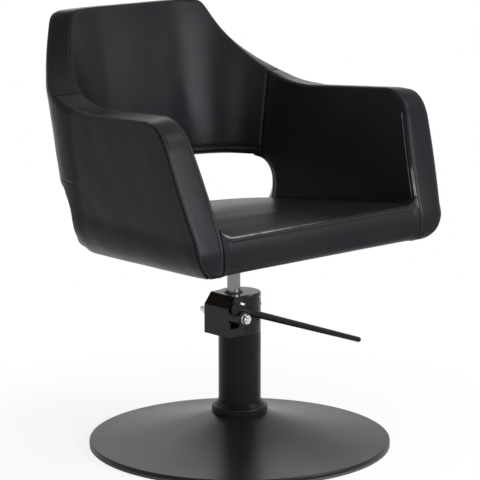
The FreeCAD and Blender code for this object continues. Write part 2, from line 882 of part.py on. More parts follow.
def arm_section(place, top):
    """Section of an arm: inner face, rim, outer face, rounded foot and the face against the seat."""
    origin, outward = place
    seat_edge = origin + outward * seat_line_radius
    seat_height = seat_side(seat_edge.y)
    inner_top = wall_outer(top) - wall_thick(top)
    outer_top = wall_outer(top)
    foot = tub_round(seat_edge.y)
    outer_y = origin.y + outward.y * wall_radius_ref
    bottom_inner = underside(seat_edge.y)
    round_inner = wall_outer(underside(outer_y) + foot) - tub_round_width
    bottom_outer = underside(origin.y + outward.y * round_inner)
    small = edge_round
    corners = [
        (seat_line_radius, bottom_inner), (seat_line_radius, seat_height), (inner_top, top - small),
        (inner_top + small, top), (outer_top - small, top - rim_fall), (outer_top, top - rim_fall - small),
        (wall_outer(bottom_outer + foot), bottom_outer + foot), (round_inner, bottom_outer),
    ]
    bulges = [
        0, face_crown, quarter_bulge(corners[2], corners[3]), 0, quarter_bulge(corners[4], corners[5]),
        face_crown, foot_bulge(corners[6], corners[7]), 0,
    ]
    return section_wire(origin, outward, corners, bulges)


def front_tool():
    """Everything in front of the arms' and seat's front profile, as a tool that cuts them."""
    corner_y_top = front_corner()
    corner_height = arm_top + arm_rise_share * (arm_foot_y() - corner_y_top)
    under_y = board_inset - front_y
    far = 2 * front_y
    high = back_top
    knee = Vector(0, -front_y, front_lean_height)
    foot = Vector(0, -front_y, underside(-front_y))
    top = Vector(0, corner_y_top, corner_height)
    back = Vector(0, arm_foot_y(), arm_top)
    inner_foot = Vector(0, under_y, underside(under_y))
    foot_start, foot_mid, foot_end = rounded(inner_foot, foot, knee, front_foot_radius)
    knee_start, knee_mid, knee_end = rounded(foot, knee, top, front_blend_radius)
    top_start, top_mid, top_end = rounded(knee, top, back, arm_corner_radius)
    below = Vector(0, foot_start.y, foot_start.z - far)
    front_below = Vector(0, -far, below.z)
    front_above = Vector(0, -far, high)
    above = Vector(0, top_end.y, high)
    edges = [
        segment(below, foot_start), arc(foot_start, foot_mid, foot_end), segment(foot_end, knee_start),
        arc(knee_start, knee_mid, knee_end), segment(knee_end, top_start), arc(top_start, top_mid, top_end),
        segment(top_end, above), segment(above, front_above), segment(front_above, front_below),
        segment(front_below, below),
    ]
    face = Part.Face(Part.Wire(edges))
    face.translate(Vector(-far, 0, 0))
    return face.extrude(Vector(2 * far, 0, 0))


def arm_foot_y():
    """Where along the arm the level top begins, from the wall's path."""
    forward = sweep_foot - corner_path(arm_splay)
    origin, outward = station(arm_splay, forward, 0)
    return origin.y + outward.y * wall_mid_radius


def front_corner():
    """Where the leaning front line meets the arm's rising top line, from both lines' equations."""
    lean = math.tan(math.radians(front_lean))
    height_gap = arm_top + arm_rise_share * arm_foot_y() - front_lean_height
    return (lean * height_gap - front_y) / (1 + lean * arm_rise_share)


def rounded(before, corner, after, radius):
    """Start, middle and end of the arc that rounds a corner."""
    first = before - corner
    second = after - corner
    first.normalize()
    second.normalize()
    half = first.getAngle(second) / 2
    reach = radius / math.tan(half)
    inward = first + second
    inward.normalize()
    centre = corner + inward * (radius / math.sin(half))
    return corner + first * reach, centre - inward * radius, corner + second * reach


def window_tool():
    """Slot that the lumbar window cuts across the rear of the wall, with its round end skewed."""
    radius = (window_top - window_bottom) / 2
    middle = (window_top + window_bottom) / 2
    far = 2 * wall_radius_ref
    edges = [
        arc(Vector(-far, radius, window_top), Vector(-far, 0, middle), Vector(-far, radius, window_bottom)),
        segment(Vector(-far, radius, window_bottom), Vector(-far, far, window_bottom)),
        segment(Vector(-far, far, window_bottom), Vector(-far, far, window_top)),
        segment(Vector(-far, far, window_top), Vector(-far, radius, window_top)),
    ]
    tool = Part.Face(Part.Wire(edges)).extrude(Vector(2 * far, 0, 0))
    tool.rotate(Vector(0, 0, 0), z_axis(), window_skew)
    tool.translate(Vector(ram_x + window_tip_x, window_tip_y, 0))
    return tool


def back_seam_tool():
    """Everything beyond the arm's rear seam that belongs to the back, from the window's top up."""
    far = 2 * wall_radius_ref
    tool = block(Vector(0, 0, window_top - pad_gap), Vector(far, far, back_top + overrun))
    tool.rotate(Vector(0, 0, 0), z_axis(), seam_turn)
    tool.translate(Vector(ram_x + corner_x, corner_y, 0))
    return tool


def arm_places():
    """Sections of the right-hand arm of the model, from the front to the rear seam."""
    run = (front_y + corner_y) * outline_overrun_share
    fronts = [run * share for share in arm_run_shares]
    straight = [(station(arm_splay, forward, 0), corner_path(arm_splay) + forward) for forward in fronts]
    turns = (arm_splay + (seam_turn - arm_splay) / 2, seam_turn, (seam_turn + window_foot_turn) / 2,
             window_foot_turn)
    curved = [(station(turn, 0, 0), corner_path(turn)) for turn in turns]
    return straight + curved


def arm_board(grow):
    """Flat board inside the arm, along its leaning middle."""
    far = (front_y + corner_y) * arm_board_share
    near = frame_margin
    wires = []
    for forward in (far, near):
        origin, outward = station(arm_splay, forward + (grow if forward == far else -grow), 0)
        low = board_top(origin.y + outward.y * wall_mid_radius) + frame_foot_gap - grow
        top = crest(corner_path(arm_splay) + near) - frame_margin + grow
        thick = frame_board + 2 * grow
        low_centre = wall_outer(low) - frame_cover - frame_board / 2
        top_centre = wall_outer(top) - frame_cover - frame_board / 2
        corners = [
            (low_centre - thick / 2, low), (top_centre - thick / 2, top),
            (top_centre + thick / 2, top), (low_centre + thick / 2, low),
        ]
        wires.append(section_wire(origin, outward, corners, [0] * len(corners)))
    board = Part.makeLoft(wires, True, True)
    nose = front_tool()
    nose.translate(Vector(0, frame_margin - grow, 0))
    return board.cut(nose)


def board_top(y):
    return underside(y) + board_thickness


def arms():
    """Both arms, cut to their front profile and by the window, with the boards inside them."""
    wires = [arm_section(place, crest(path)) for place, path in arm_places()]
    body = Part.makeLoft(wires, True, False)
    body = body.cut(front_tool())
    body = body.cut(window_tool())
    body = body.cut(back_seam_tool())
    board = arm_board(0)
    for spot in frame_screw_places():
        board = board.cut(rod(frame_screw_radius, board_thickness + frame_screw_bite, spot, z_axis()))
    body = body.cut(arm_board(pad_gap))
    body = body.cut(seat_board_solid(pad_gap))
    keep("left_arm", body)
    keep("right_arm", mirrored(body))
    keep("left_arm_board", board)
    keep("right_arm_board", mirrored(board))


def seat_outline(reach, front):
    """Plan of the seat: splayed sides, round rear corners and a straight front."""
    angle = math.radians(arm_splay)
    side_end = station(arm_splay, 0, 0)
    run = (corner_y + front) / math.cos(angle) * outline_overrun_share
    front_start = station(arm_splay, run, 0)
    tangent = side_end[0] + side_end[1] * reach
    forward = front_start[0] + front_start[1] * reach
    share = (-front - tangent.y) / (forward.y - tangent.y)
    right_front = tangent + (forward - tangent) * share
    half_turn = math.radians((quarter_turn + arm_splay) / 2)
    centre = side_end[0]
    corner_mid = centre + Vector(math.cos(half_turn), math.sin(half_turn), 0) * reach
    rear = centre + Vector(0, reach, 0)

    def flip(spot):
        return Vector(2 * ram_x - spot.x, spot.y, spot.z)

    return Part.Face(Part.Wire([
        segment(right_front, tangent), arc(tangent, corner_mid, rear), segment(rear, flip(rear)),
        arc(flip(rear), flip(corner_mid), flip(tangent)), segment(flip(tangent), flip(right_front)),
        segment(flip(right_front), right_front),
    ]))


def seat_board_solid(grow):
    """Plywood board that carries the seat, the arms' boards and the rear rail."""
    plan = seat_outline(wall_radius_ref - board_inset + grow, front_y - board_inset + grow)
    plan.translate(Vector(-ram_x, 0, -grow))
    slab = plan.extrude(Vector(0, 0, board_thickness + 2 * grow))
    rim = [edge for edge in slab.Edges if edge.BoundBox.ZMax < board_thickness / 2]
    return tilted(slab.makeChamfer(board_chamfer, rim))


def seat_parts():
    """Seat cushion, rear rail under the window and the board below them."""
    board = seat_board_solid(0)
    for place in mount_places():
        hole = rod(mount_bolt_radius + mount_hole_clearance, board_thickness, place, z_axis())
        barrel_low = place + Vector(0, 0, board_thickness / 2)
        barrel = rod(tee_barrel_radius + seat_gap, board_thickness, barrel_low, z_axis())
        board = board.cut(tilted(hole)).cut(tilted(barrel))
    nose = rod(ram_nose_radius + mount_hole_clearance, board_thickness, Vector(0, 0, 0), z_axis())
    board = board.cut(tilted(nose))
    for screw in frame_screw_places():
        below = screw - z_axis() * board_thickness
        board = board.cut(rod(frame_screw_radius + seat_gap, 3 * board_thickness, below, z_axis()))
        recess = frame_screw_head + overrun
        start = Vector(screw.x, screw.y, underside(screw.y) + frame_screw_head - recess)
        board = board.cut(rod(frame_screw_head_radius + seat_gap, recess, start, z_axis()))
    keep("seat_board", board)

    plan = seat_outline(seat_line_radius - cushion_gap, front_y * outline_overrun_share)
    tall = plan.extrude(Vector(0, 0, back_top))
    half = corner_x + wall_radius_ref
    wires = []
    depth = front_y + corner_y + wall_radius_ref
    for share, crown_share in seat_crown_shares:
        y = depth * share - front_y
        crown = seat_crown * crown_share
        edge_height = seat_side(y) - crown / 2
        left = Vector(ram_x - half, y, underside(y))
        right = Vector(ram_x + half, y, underside(y))
        left_top = Vector(ram_x - half, y, edge_height)
        right_top = Vector(ram_x + half, y, edge_height)
        middle = Vector(ram_x, y, seat_side(y) + crown)
        wires.append(Part.Wire([
            segment(left, right), segment(right, right_top), arc(right_top, middle, left_top),
            segment(left_top, left),
        ]))
    body = Part.makeLoft(wires, True, False)
    cushion = tall.common(body)
    cushion = cushion.cut(front_tool())
    cushion = cushion.cut(seat_board_solid(pad_gap))
    relief = tee_flange + pad_gap
    for place in mount_places():
        start = place + Vector(0, 0, board_thickness)
        cushion = cushion.cut(tilted(rod(tee_flange_radius + pad_gap, relief, start, z_axis())))
    keep("seat_cushion", cushion)

    wires = [rail_section(place) for place, path in back_places(window_foot_turn)]
    rail = Part.makeLoft(wires, True, False)
    keep("rear_rail", rail.cut(seat_board_solid(pad_gap)))


def rail_section(place):
    """Section of the rear rail: it falls to the rear and rounds under the tub."""
    origin, outward = place
    inner_y = origin.y + outward.y * seat_line_radius
    high = min(seat_side(inner_y), window_bottom)
    foot = tub_round(inner_y) * rail_round_share
    outer_y = origin.y + outward.y * wall_radius_ref
    base = underside(outer_y)
    outer = wall_outer(base + foot)
    round_inner = outer - foot
    bottom_outer = underside(origin.y + outward.y * round_inner)
    lip = edge_round
    outer_high = min(seat_side(origin.y + outward.y * outer), window_bottom)
    corners = [
        (seat_line_radius, underside(inner_y)), (seat_line_radius, high), (outer - lip, outer_high),
        (outer, outer_high - lip), (round_inner, bottom_outer),
    ]
    bulges = [0, 0, quarter_bulge(corners[2], corners[3]), quarter_bulge(corners[3], corners[4]), 0]
    return section_wire(origin, outward, corners, bulges)


def frame_screw_places():
    """Screws up through the seat board into the arm boards."""
    spots = []
    for number in range(frame_screw_count):
        forward = frame_screw_start + frame_screw_pitch * number
        origin, outward = station(arm_splay, forward, 0)
        height = board_top(origin.y)
        radius = wall_outer(height) - frame_cover - frame_board / 2
        spot = origin + outward * radius
        spots.append(Vector(spot.x, spot.y, underside(spot.y)))
        spots.append(Vector(2 * ram_x - spot.x, spot.y, underside(spot.y)))
    return spots


def frame_screws():
    screws = []
    for spot in frame_screw_places():
        shank_start = spot + z_axis() * frame_screw_head
        length = board_thickness - frame_screw_head + frame_screw_bite
        shank = rod(frame_screw_radius, length, shank_start, z_axis())
        head = rod(frame_screw_head_radius, frame_screw_head, spot, z_axis())
        screws.append(head.fuse(shank).removeSplitter())
    keep("frame_screws", Part.makeCompound(screws))


def build():
    floor_ring()
    floor_plate()
    base_cover()
    base_collar()
    column_tube()
    foot_bolts()
    pressure_cylinder()
    pump_head()
    head_fittings()
    ram_bearings()
    ram_parts()
    shaft_fittings()
    pedal_parts()
    plunger_parts()
    swivel_parts()
    mount_fasteners()
    arms()
    back_pad_and_board()
    seat_parts()
    frame_screws()


def export():
    os.makedirs("parts", exist_ok=True)
    for name, shape in nodes.items():
        shape.exportStep("parts/" + name + ".step")
        print(name, len(shape.Solids), shape.isValid())


build()
export()
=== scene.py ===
import math
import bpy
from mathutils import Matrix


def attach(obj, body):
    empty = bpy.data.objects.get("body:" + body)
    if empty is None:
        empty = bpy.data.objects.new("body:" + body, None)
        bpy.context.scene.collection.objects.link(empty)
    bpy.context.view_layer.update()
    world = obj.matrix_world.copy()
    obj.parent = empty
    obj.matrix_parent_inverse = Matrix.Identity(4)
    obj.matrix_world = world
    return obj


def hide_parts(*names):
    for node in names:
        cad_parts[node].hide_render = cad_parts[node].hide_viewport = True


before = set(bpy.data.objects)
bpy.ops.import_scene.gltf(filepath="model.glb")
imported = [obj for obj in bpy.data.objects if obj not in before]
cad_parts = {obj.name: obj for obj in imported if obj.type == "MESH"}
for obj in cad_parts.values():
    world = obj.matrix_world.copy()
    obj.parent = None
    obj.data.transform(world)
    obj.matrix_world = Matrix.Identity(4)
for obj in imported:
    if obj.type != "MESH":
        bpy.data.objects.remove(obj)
from types import SimpleNamespace

import bmesh
import bpy
import numpy as np
from bpy.props import FloatProperty, FloatVectorProperty, PointerProperty
from mathutils import Vector, noise
from mathutils.bvhtree import BVHTree

bl_info = {
    "name": "Hydraulic salon chair",
    "version": (1, 0, 0),
    "blender": (4, 5, 0),
    "location": "3D View > Sidebar > Chair",
    "description": "Dresses the frame of a tub chair on a pumped column with leather, threads and finishes",
    "category": "Object",
}


def length(name, description, default):
    return FloatProperty(name=name, description=description, default=default, unit="LENGTH", precision=4)


def share(name, description, default):
    return FloatProperty(name=name, description=description, default=default, subtype="FACTOR")


def colour(name, description, default):
    return FloatVectorProperty(name=name, description=description, default=default, size=3, subtype="COLOR",
                               min=0, max=1)


def angle(name, description, degrees):
    return FloatProperty(name=name, description=description, default=math.radians(degrees), subtype="ANGLE")


def power(name, description, default):
    return FloatProperty(name=name, description=description, default=default, unit="POWER")


class ChairTub(bpy.types.PropertyGroup):
    """Sizes of the upholstered tub, which follow the frame under it."""
    middle_x: length("Middle", "Where the seat's middle line stands along X", -0.015)
    corner_x: length("Corner centre X", "Distance of a rear corner's centre from the middle", 0.088)
    corner_y: length("Corner centre Y", "How far back a rear corner's centre lies", 0.105)
    wall_level: length("Wall level", "Height at which the wall's radius and thickness are given", 0.467)
    wall_radius: length("Wall radius", "Radius of the wall's outer face at the wall level", 0.1746)
    wall_lean: share("Wall lean", "Outward lean of the wall for its height", 0.15)
    wall_thick: length("Wall thickness", "Thickness of the wall at the wall level", 0.062)
    wall_thin: share("Wall thinning", "Thickness that the wall loses for its height", 0.0431)
    splay: angle("Arm splay", "How far the arms open to the front", 7.0)
    seam_turn: angle("Seam turn", "Where the back meets the arms round the corner", 19.5)
    middle_radius: length("Path radius", "Radius at which the wall's length is measured", 0.182)
    face_crown: length("Face crown", "How far the wall's faces bow out", 0.0035)
    rim_fall: length("Rim fall", "How much lower the rim's outer edge lies", 0.005)
    pad_round: length("Lower roll", "Radius of the roll under the back", 0.016)
    back_top: length("Back height", "Height of the back's top", 0.815)
    top_radius: length("Top corner radius", "Radius where the back's top turns down", 0.030)
    sweep_radius: length("Sweep radius", "Radius of the hollow sweep from the back to the arm", 0.290)
    sweep_foot: length("Sweep foot", "Distance along the wall at which the sweep ends", 0.420)
    arm_top: length("Arm height", "Height of the arm where the sweep ends", 0.659)
    arm_rise: share("Arm rise", "Rise of the arm's top towards the front", 0.06)
    front: length("Front", "How far forward the seat reaches", 0.245)
    lean_height: length("Lean height", "Height above which the front leans back", 0.443)
    front_lean: angle("Front lean", "Backward lean of the arm's front edge", 18.3)
    arm_corner: length("Arm corner radius", "Radius of the arm's upper front corner", 0.062)
    front_blend: length("Front blend radius", "Radius between the upright and the leaning front", 0.070)
    front_foot: length("Front foot radius", "Radius under the front edge", 0.022)
    seat_height: length("Seat height", "Height of the seat at its front edge", 0.466)
    seat_fall: share("Seat fall", "Fall of the seat towards the rear", 0.08)
    seat_crown: length("Seat crown", "How far the seat stands up in its middle", 0.009)
    rear_sink: length("Rear sink", "How far the seat's rear edge has sunk", 0.006)
    rail_sink: length("Rail sink", "How far the rail's outer edge has sunk", 0.011)
    round_width: length("Foot width", "Width of the rounding between side and underside", 0.038)
    round_front: length("Foot height, front", "Height of that rounding at the front", 0.062)
    round_rear: length("Foot height, rear", "Height of that rounding at the rear", 0.084)
    round_bow: share("Foot bow", "Bow of that rounding over its chord", 0.18)
    bow_loss: share("Bow loss", "How much of that bow is lost round the rear corners", 0.08)
    rail_share: share("Rail rounding", "Share of that rounding under the window", 0.45)
    under_height: length("Underside height", "Height of the underside over the ram", 0.386)
    under_tilt: angle("Underside tilt", "Fall of the underside towards the rear", 2.3)
    window_low: length("Window bottom", "Height of the window's lower edge at its ends", 0.405)
    rail_high: length("Rail top", "Greatest height of the rail under the window", 0.421)
    rail_turn: angle("Rail end", "How far round the corners the rail reaches", 22.0)
    window_high: length("Window top", "Height of the window's upper edge", 0.516)
    corner_full: length("Corner fullness", "How far the padding fills out the rear corners", 0.006)
    corner_head: share("Corner head", "How fast the rear corners widen towards the top, per metre", 16.0)
    corner_waist: length("Corner waist", "How far the rear corners are drawn in half way up", 0.0045)
    waist_high: length("Waist top", "Height where that waist begins", 0.727)
    waist_low: length("Waist bottom", "Height where that waist ends", 0.474)
    rail_tuck: length("Rail tuck", "How far the rail's outer face stands back", 0.010)
    window_side: length("Window end X", "Distance of the window's tips from the middle", 0.2078)
    window_tip: length("Window end Y", "How far back the window's tips lie", 0.1129)
    window_square: FloatProperty(name="Window end", description="How square the window's ends are, 2 is round",
                                 min=2, max=4, default=2.6)
    window_skew: angle("Window skew", "Turn of the cut that makes the window's end", 47.5)
    foot_turn: angle("Arm foot turn", "Where the arms end under the window", 31.0)


class ChairLeather(bpy.types.PropertyGroup):
    """Look of the leather and its seams."""
    hide: colour("Leather", "Colour of the leather", (0.0066, 0.0066, 0.0084))
    warm: colour("Rubbed leather", "Colour where the leather is rubbed", (0.0115, 0.0097, 0.0100))
    # Pale colour painted along the seat's front edge and the left arm's inner edge: partly leather worn pale,
    # partly a painted highlight of the rolled edges catching the light
    edge: colour("Worn edge", "Colour of the rubbed seams at the seat's front", (0.30, 0.295, 0.30))
    thread: colour("Thread", "Colour of the sewing thread", (0.020, 0.020, 0.022))
    seam_depth: length("Seam depth", "How deep a seam is drawn in", 0.0014)
    stitch_length: length("Stitch length", "Length of one stitch", 0.0034)
    stitch_pitch: length("Stitch pitch", "Distance from stitch to stitch", 0.0046)
    stitch_radius: length("Thread radius", "Radius of the thread", 0.00042)
    wrinkle: length("Wrinkle", "Height of the leather's soft waves", 0.0007)
    soft_edge: length("Soft edge", "Radius of the padded edges that have no seam", 0.007)
    wide_edge: length("Wide edge", "Radius of the back's outer rim, which has no seam", 0.010)
    # How far the painted wear and highlight on the seat's front edge fades towards one side
    worn_loss: length("Wear loss", "How far the wear of the seat's front edge fades towards one side", 0.0020)


class ChairMetal(bpy.types.PropertyGroup):
    """Colours of the column, base and fittings."""
    powder: colour("Powder coat", "Colour of the base cover", (0.0075, 0.0076, 0.0080))
    enamel: colour("Enamel", "Colour of the pump and column", (0.0045, 0.0045, 0.0048))
    ram: colour("Ram", "Colour of the ground and chromed ram", (0.19, 0.19, 0.194))
    chrome: colour("Chrome", "Colour of the polished metal", (0.62, 0.62, 0.64))
    zinc: colour("Zinc", "Colour of the plated fasteners", (0.50, 0.51, 0.53))
    steel: colour("Steel", "Colour of bare steel", (0.34, 0.34, 0.35))
    bronze: colour("Bronze", "Colour of the bearings", (0.48, 0.30, 0.12))
    rubber: colour("Rubber", "Colour of rubber", (0.030, 0.030, 0.032))
    plywood: colour("Plywood", "Colour of the frame's boards", (0.42, 0.29, 0.16))


class ChairStage(bpy.types.PropertyGroup):
    """Lights, floor and camera."""
    front: power("Front light", "Power of the low front light", 115)
    key: power("Key light", "Power of the high front light", 34)
    side: power("Side light", "Power of the side light", 20)
    top: power("Top light", "Power of the overhead light", 5)
    rear: power("Rear light", "Power of the rear light", 9)
    floor: colour("Floor", "Colour of the floor", (0.86, 0.86, 0.86))
    camera_place: FloatVectorProperty(name="Camera place", description="Where the camera stands",
                                      default=(-3.0203, -3.2961, 1.2964), size=3, subtype="TRANSLATION")
    camera_turn: angle("Camera turn", "Turn of the camera from straight ahead", -42.5)
    camera_dip: angle("Camera dip", "How far the camera looks down", 11.417)
    camera_lens: FloatProperty(name="Lens", description="Focal length in millimetres", default=183.0, min=20)


def value_names(group):
    return [name for name in group.bl_rna.properties.keys() if name not in ("rna_type", "name")]


def plain(group):
    """The group's values as plain numbers."""
    return SimpleNamespace(**{name: getattr(group, name) for name in value_names(group)})


def sizes():
    return plain(bpy.context.scene.chair_tub)


def looks():
    return plain(bpy.context.scene.chair_leather)


# Shape of the tub wall

def underside(t, y):
    return t.under_height - math.tan(t.under_tilt) * y


def seat_side(t, y):
    return t.seat_height - t.seat_fall * (y + t.front)


def wall_outer(t, height):
    return t.wall_radius + t.wall_lean * (height - t.wall_level)


def wall_inner(t, height):
    return wall_outer(t, height) - t.wall_thick + t.wall_thin * (height - t.wall_level)


def seat_line(t):
    return t.wall_radius - t.wall_thick


def corner_path(t, turn):
    """Distance along the wall, from the middle of the back, of a turn round the corner."""
    return t.corner_x + (math.pi / 2 - turn) * t.middle_radius


def path_turn(t, path):
    return math.pi / 2 - (np.abs(path) - t.corner_x) / t.middle_radius


def eased(value):
    value = np.clip(value, 0, 1)
    return value ** 2 * (3 - 2 * value)


def place(t, path):
    """Origin and outward direction of the wall at distances from the middle of the back."""
    path = np.asarray(path, float)
    side = np.where(path < 0, -1.0, 1.0)
    run = np.abs(path)
    bend_end = corner_path(t, t.splay)
    turn = path_turn(t, np.clip(run, t.corner_x, bend_end))
    forward = np.maximum(run - bend_end, 0)
    inward = np.maximum(t.corner_x - run, 0)
    origin_x = (t.corner_x - inward + np.sin(turn) * forward) * side + t.middle_x
    origin_y = t.corner_y - np.cos(turn) * forward
    return origin_x, origin_y, np.cos(turn) * side, np.sin(turn)


def spot(t, path, radius, height):
    """Points of the wall at a path, a radius and a height."""
    origin_x, origin_y, out_x, out_y = place(t, path)
    shape = np.broadcast(path, radius, height).shape
    parts = [origin_x + out_x * radius, origin_y + out_y * radius, height]
    return np.stack([np.broadcast_to(part, shape) for part in parts], -1)


def wall_y(t, path, radius):
    """How far back the wall's point at a radius lies."""
    _, origin_y, _, out_y = place(t, path)
    return origin_y + out_y * radius


# The rear corners are filled out from a share of the splay to a turn, and their waist ends at another
FILL_START = 0.4
FILL_END = math.radians(44)
WAIST_END = math.radians(83)


def corner_fill(t, path, height):
    """How far the padding stands out round a rear corner: a waist half way up, a fuller head."""
    turn = path_turn(t, path)
    along = np.clip((turn - t.splay * FILL_START) / (FILL_END - t.splay * FILL_START), 0, 1)
    rear = np.sin(np.pi * np.clip((turn - t.splay) / (WAIST_END - t.splay), 0, 1))
    waist = np.sin(np.pi * np.clip((t.waist_high - height) / (t.waist_high - t.waist_low), 0, 1))
    head = np.clip(height - t.waist_high, 0, None)
    slope = np.pi / (t.waist_high - t.waist_low)
    shape = t.corner_waist * (slope * head * (1 + t.corner_head * head) - waist)
    return t.corner_full * np.sin(np.pi * along) ** 1.5 + shape * rear


def crest(t, path):
    """Height of the wall's top at a distance from the middle of the back."""
    run = np.abs(path)
    high_centre = t.arm_top + t.sweep_radius
    low_centre = t.back_top - t.top_radius
    reach = math.sqrt((t.sweep_radius + t.top_radius) ** 2 - (low_centre - high_centre) ** 2)
    flat_end = t.sweep_foot - reach
    fillet_end = t.sweep_foot - reach * t.sweep_radius / (t.sweep_radius + t.top_radius)
    over = np.clip(run - flat_end, 0, t.top_radius)
    before = np.clip(t.sweep_foot - run, 0, t.sweep_radius)
    fillet = low_centre + np.sqrt(t.top_radius ** 2 - over ** 2)
    sweep = high_centre - np.sqrt(t.sweep_radius ** 2 - before ** 2)
    rise = t.arm_top + t.arm_rise * (run - t.sweep_foot)
    within = [run <= flat_end, run <= fillet_end, run <= t.sweep_foot]
    return np.select(within, [t.back_top, fillet, sweep], rise)


def swell(t, along):
    """How far a padded face bows out at a share of its height."""
    along = np.clip(along, 0, 1)
    return t.face_crown * 4 * along * (1 - along)


def foot_height(t, inner_y):
    """Height of the rounding between side and underside."""
    rise = t.round_rear - t.round_front
    return t.round_front + rise * (inner_y + t.front) / (t.front + t.corner_y + t.wall_radius)


def foot_shape(t, path):
    """Lower rounding of the arm's outer side: knee height, lowest height and the radius there."""
    foot = foot_height(t, wall_y(t, path, seat_line(t)))
    low_radius = wall_outer(t, underside(t, wall_y(t, path, t.wall_radius)) + foot) - t.round_width
    low = underside(t, wall_y(t, path, low_radius))
    return low + foot, low, low_radius


REAR_REACH = 0.19  # how far back the foot's bow has lost what it loses


def arm_outer(t, path, height, top):
    """Radius of the arm's outer face at a height, its lower rounding included."""
    knee, low, low_radius = foot_shape(t, path)
    upper = wall_outer(t, height) + swell(t, (height - knee) / (top - knee)) + corner_fill(t, path, height)
    knee_radius = wall_outer(t, knee) + corner_fill(t, path, knee)
    run_r = low_radius - knee_radius
    run_z = low - knee
    rearward = np.clip(wall_y(t, path, t.wall_radius) / REAR_REACH, 0, 1)
    bow = 4 * (t.round_bow - t.bow_loss * rearward ** 2)
    curve = -bow * run_r
    slope = run_z - curve
    root = np.sqrt(np.maximum(slope ** 2 - 4 * curve * (knee - height), 0))
    step = np.clip(np.where(np.abs(curve) > 1e-9, (-slope - root) / (2 * curve), 0), 0, 1)
    lower = knee_radius + run_r * step - bow * run_z * step * (1 - step)
    return np.where(height >= knee, upper, lower)


def arm_inner(t, path, height, top):
    """Radius of the arm's inner face at a height; below the seat it is upright."""
    seat = seat_side(t, wall_y(t, path, seat_line(t)))
    along = np.clip((height - seat) / (top - seat), 0, 1)
    return seat_line(t) + (wall_inner(t, top) - seat_line(t)) * along - swell(t, along)


def back_swell(t, path, height, head):
    """Swell of the back's outer face, which takes up the arms' swell towards its joints."""
    low = t.window_high
    knee = foot_shape(t, np.abs(path))[0]
    along = np.clip((height - low) / (head - low), 0, 1)
    arm_along = np.clip((height - knee) / (crest(t, path) - knee), 0, 1)
    beside_arm = eased(2 - path_turn(t, path) / t.foot_turn)
    bow = along * (1 - along) * (1 - beside_arm) + arm_along * (1 - arm_along) * beside_arm
    return t.face_crown * 4 * bow


def rounded(before, corner, after, radius, count=24):
    """Points of the arc that rounds a corner of a flat outline."""
    first = (before - corner) / np.linalg.norm(before - corner)
    second = (after - corner) / np.linalg.norm(after - corner)
    half = math.acos(float(np.clip(first @ second, -1, 1))) / 2
    inward = (first + second) / np.linalg.norm(first + second)
    centre = corner + inward * radius / math.sin(half)
    start = corner + first * radius / math.tan(half) - centre
    end = corner + second * radius / math.tan(half) - centre
    steps = np.linspace(0, 1, count)
    sweep = math.acos(float(np.clip(start @ end / radius ** 2, -1, 1)))
    weights = np.stack([np.sin((1 - steps) * sweep), np.sin(steps * sweep)], -1) / math.sin(sweep)
    return centre + weights @ np.stack([start, end])


def front_profile(t):
    """Front outline of arms and seat as points of y and height, from the foot to the arm's top."""
    lean = math.tan(t.front_lean)
    top_y = float(wall_y(t, t.sweep_foot, t.middle_radius))
    corner_y = (lean * (t.arm_top + t.arm_rise * top_y - t.lean_height) - t.front) / (1 + lean * t.arm_rise)
    corner = np.array([corner_y, t.arm_top + t.arm_rise * (top_y - corner_y)])
    inner = t.round_width - t.front
    below = np.array([inner, underside(t, inner)])
    foot = np.array([-t.front, underside(t, -t.front)])
    knee = np.array([-t.front, t.lean_height])
    return np.concatenate([
        rounded(below, foot, knee, t.front_foot), rounded(foot, knee, corner, t.front_blend),
        rounded(knee, corner, np.array([top_y, t.arm_top]), t.arm_corner, 60),
    ])


def profile_y(outline, height):
    last = int(np.argmax(outline[:, 1]))
    return np.interp(height, outline[:last + 1, 1], outline[:last + 1, 0])


def solve(low, high, wanted):
    """Paths between low and high at which wanted changes from positive to negative."""
    for _ in range(40):
        middle = (low + high) / 2
        ahead = wanted(middle) > 0
        low = np.where(ahead, middle, low)
        high = np.where(ahead, high, middle)
    return (low + high) / 2


# Grids of points that become one closed cover


# Grids of points that become one closed cover

# Distances from a seam at which a grid's columns lie, and the same with one more
NEAR = [0, 0.0018, 0.0040, 0.0060, 0.0085, 0.0125, 0.018]
NEAR_WIDE = [*NEAR, 0.026]
STITCH_COLUMN = NEAR.index(0.0060)
FAINT_COLUMN = NEAR.index(0.0085)
BAND_COLUMNS = 5  # columns between the near ones on a narrow band


def near_far(start, end, near, count):
    """Columns between two ends, close together near both, as a grid with a row for each end."""
    span = (end - start)[:, None]
    first = start[:, None] + np.minimum(np.array(near), span * 0.3)
    last = end[:, None] - np.minimum(np.array(near[::-1]), span * 0.3)
    steps = np.linspace(0, 1, count + 2)[1:-1]
    middle = first[:, -1:] + (last[:, :1] - first[:, -1:]) * steps
    return np.concatenate([first, middle, last], 1)


def across(first, last):
    """Grid of straight lines from each point of one line to the same point of another."""
    width = np.linalg.norm(last - first, axis=-1)
    steps = near_far(np.zeros(len(width)), width, NEAR, BAND_COLUMNS) / np.maximum(width, 1e-6)[:, None]
    return first[:, None, :] + (last - first)[:, None, :] * steps[:, :, None]


def wall_paths(end, count):
    """Paths over the back from one end to the other, close together near both."""
    near = np.array(NEAR)
    half = np.concatenate([np.linspace(0, end - near[-1], count), end - near[::-1][1:]])
    return np.concatenate([-half[::-1][:-1], half])


def new_object(name, data):
    item = bpy.data.objects.new(name, data)
    bpy.context.collection.objects.link(item)
    return item


def new_mesh(name, points, faces):
    mesh = bpy.data.meshes.new(name)
    mesh.from_pydata([tuple(point) for point in points], [], faces)
    return mesh


def round_shaded(mesh):
    mesh.polygons.foreach_set("use_smooth", [True] * len(mesh.polygons))


def write_values(mesh, name, values):
    """Keep a number for each vertex, for the shader or for later steps."""
    mesh.attributes.new(name, "FLOAT", "POINT").data.foreach_set("value", values)


def read_values(mesh, name):
    values = np.empty(len(mesh.vertices))
    mesh.attributes[name].data.foreach_get("value", values)
    return values


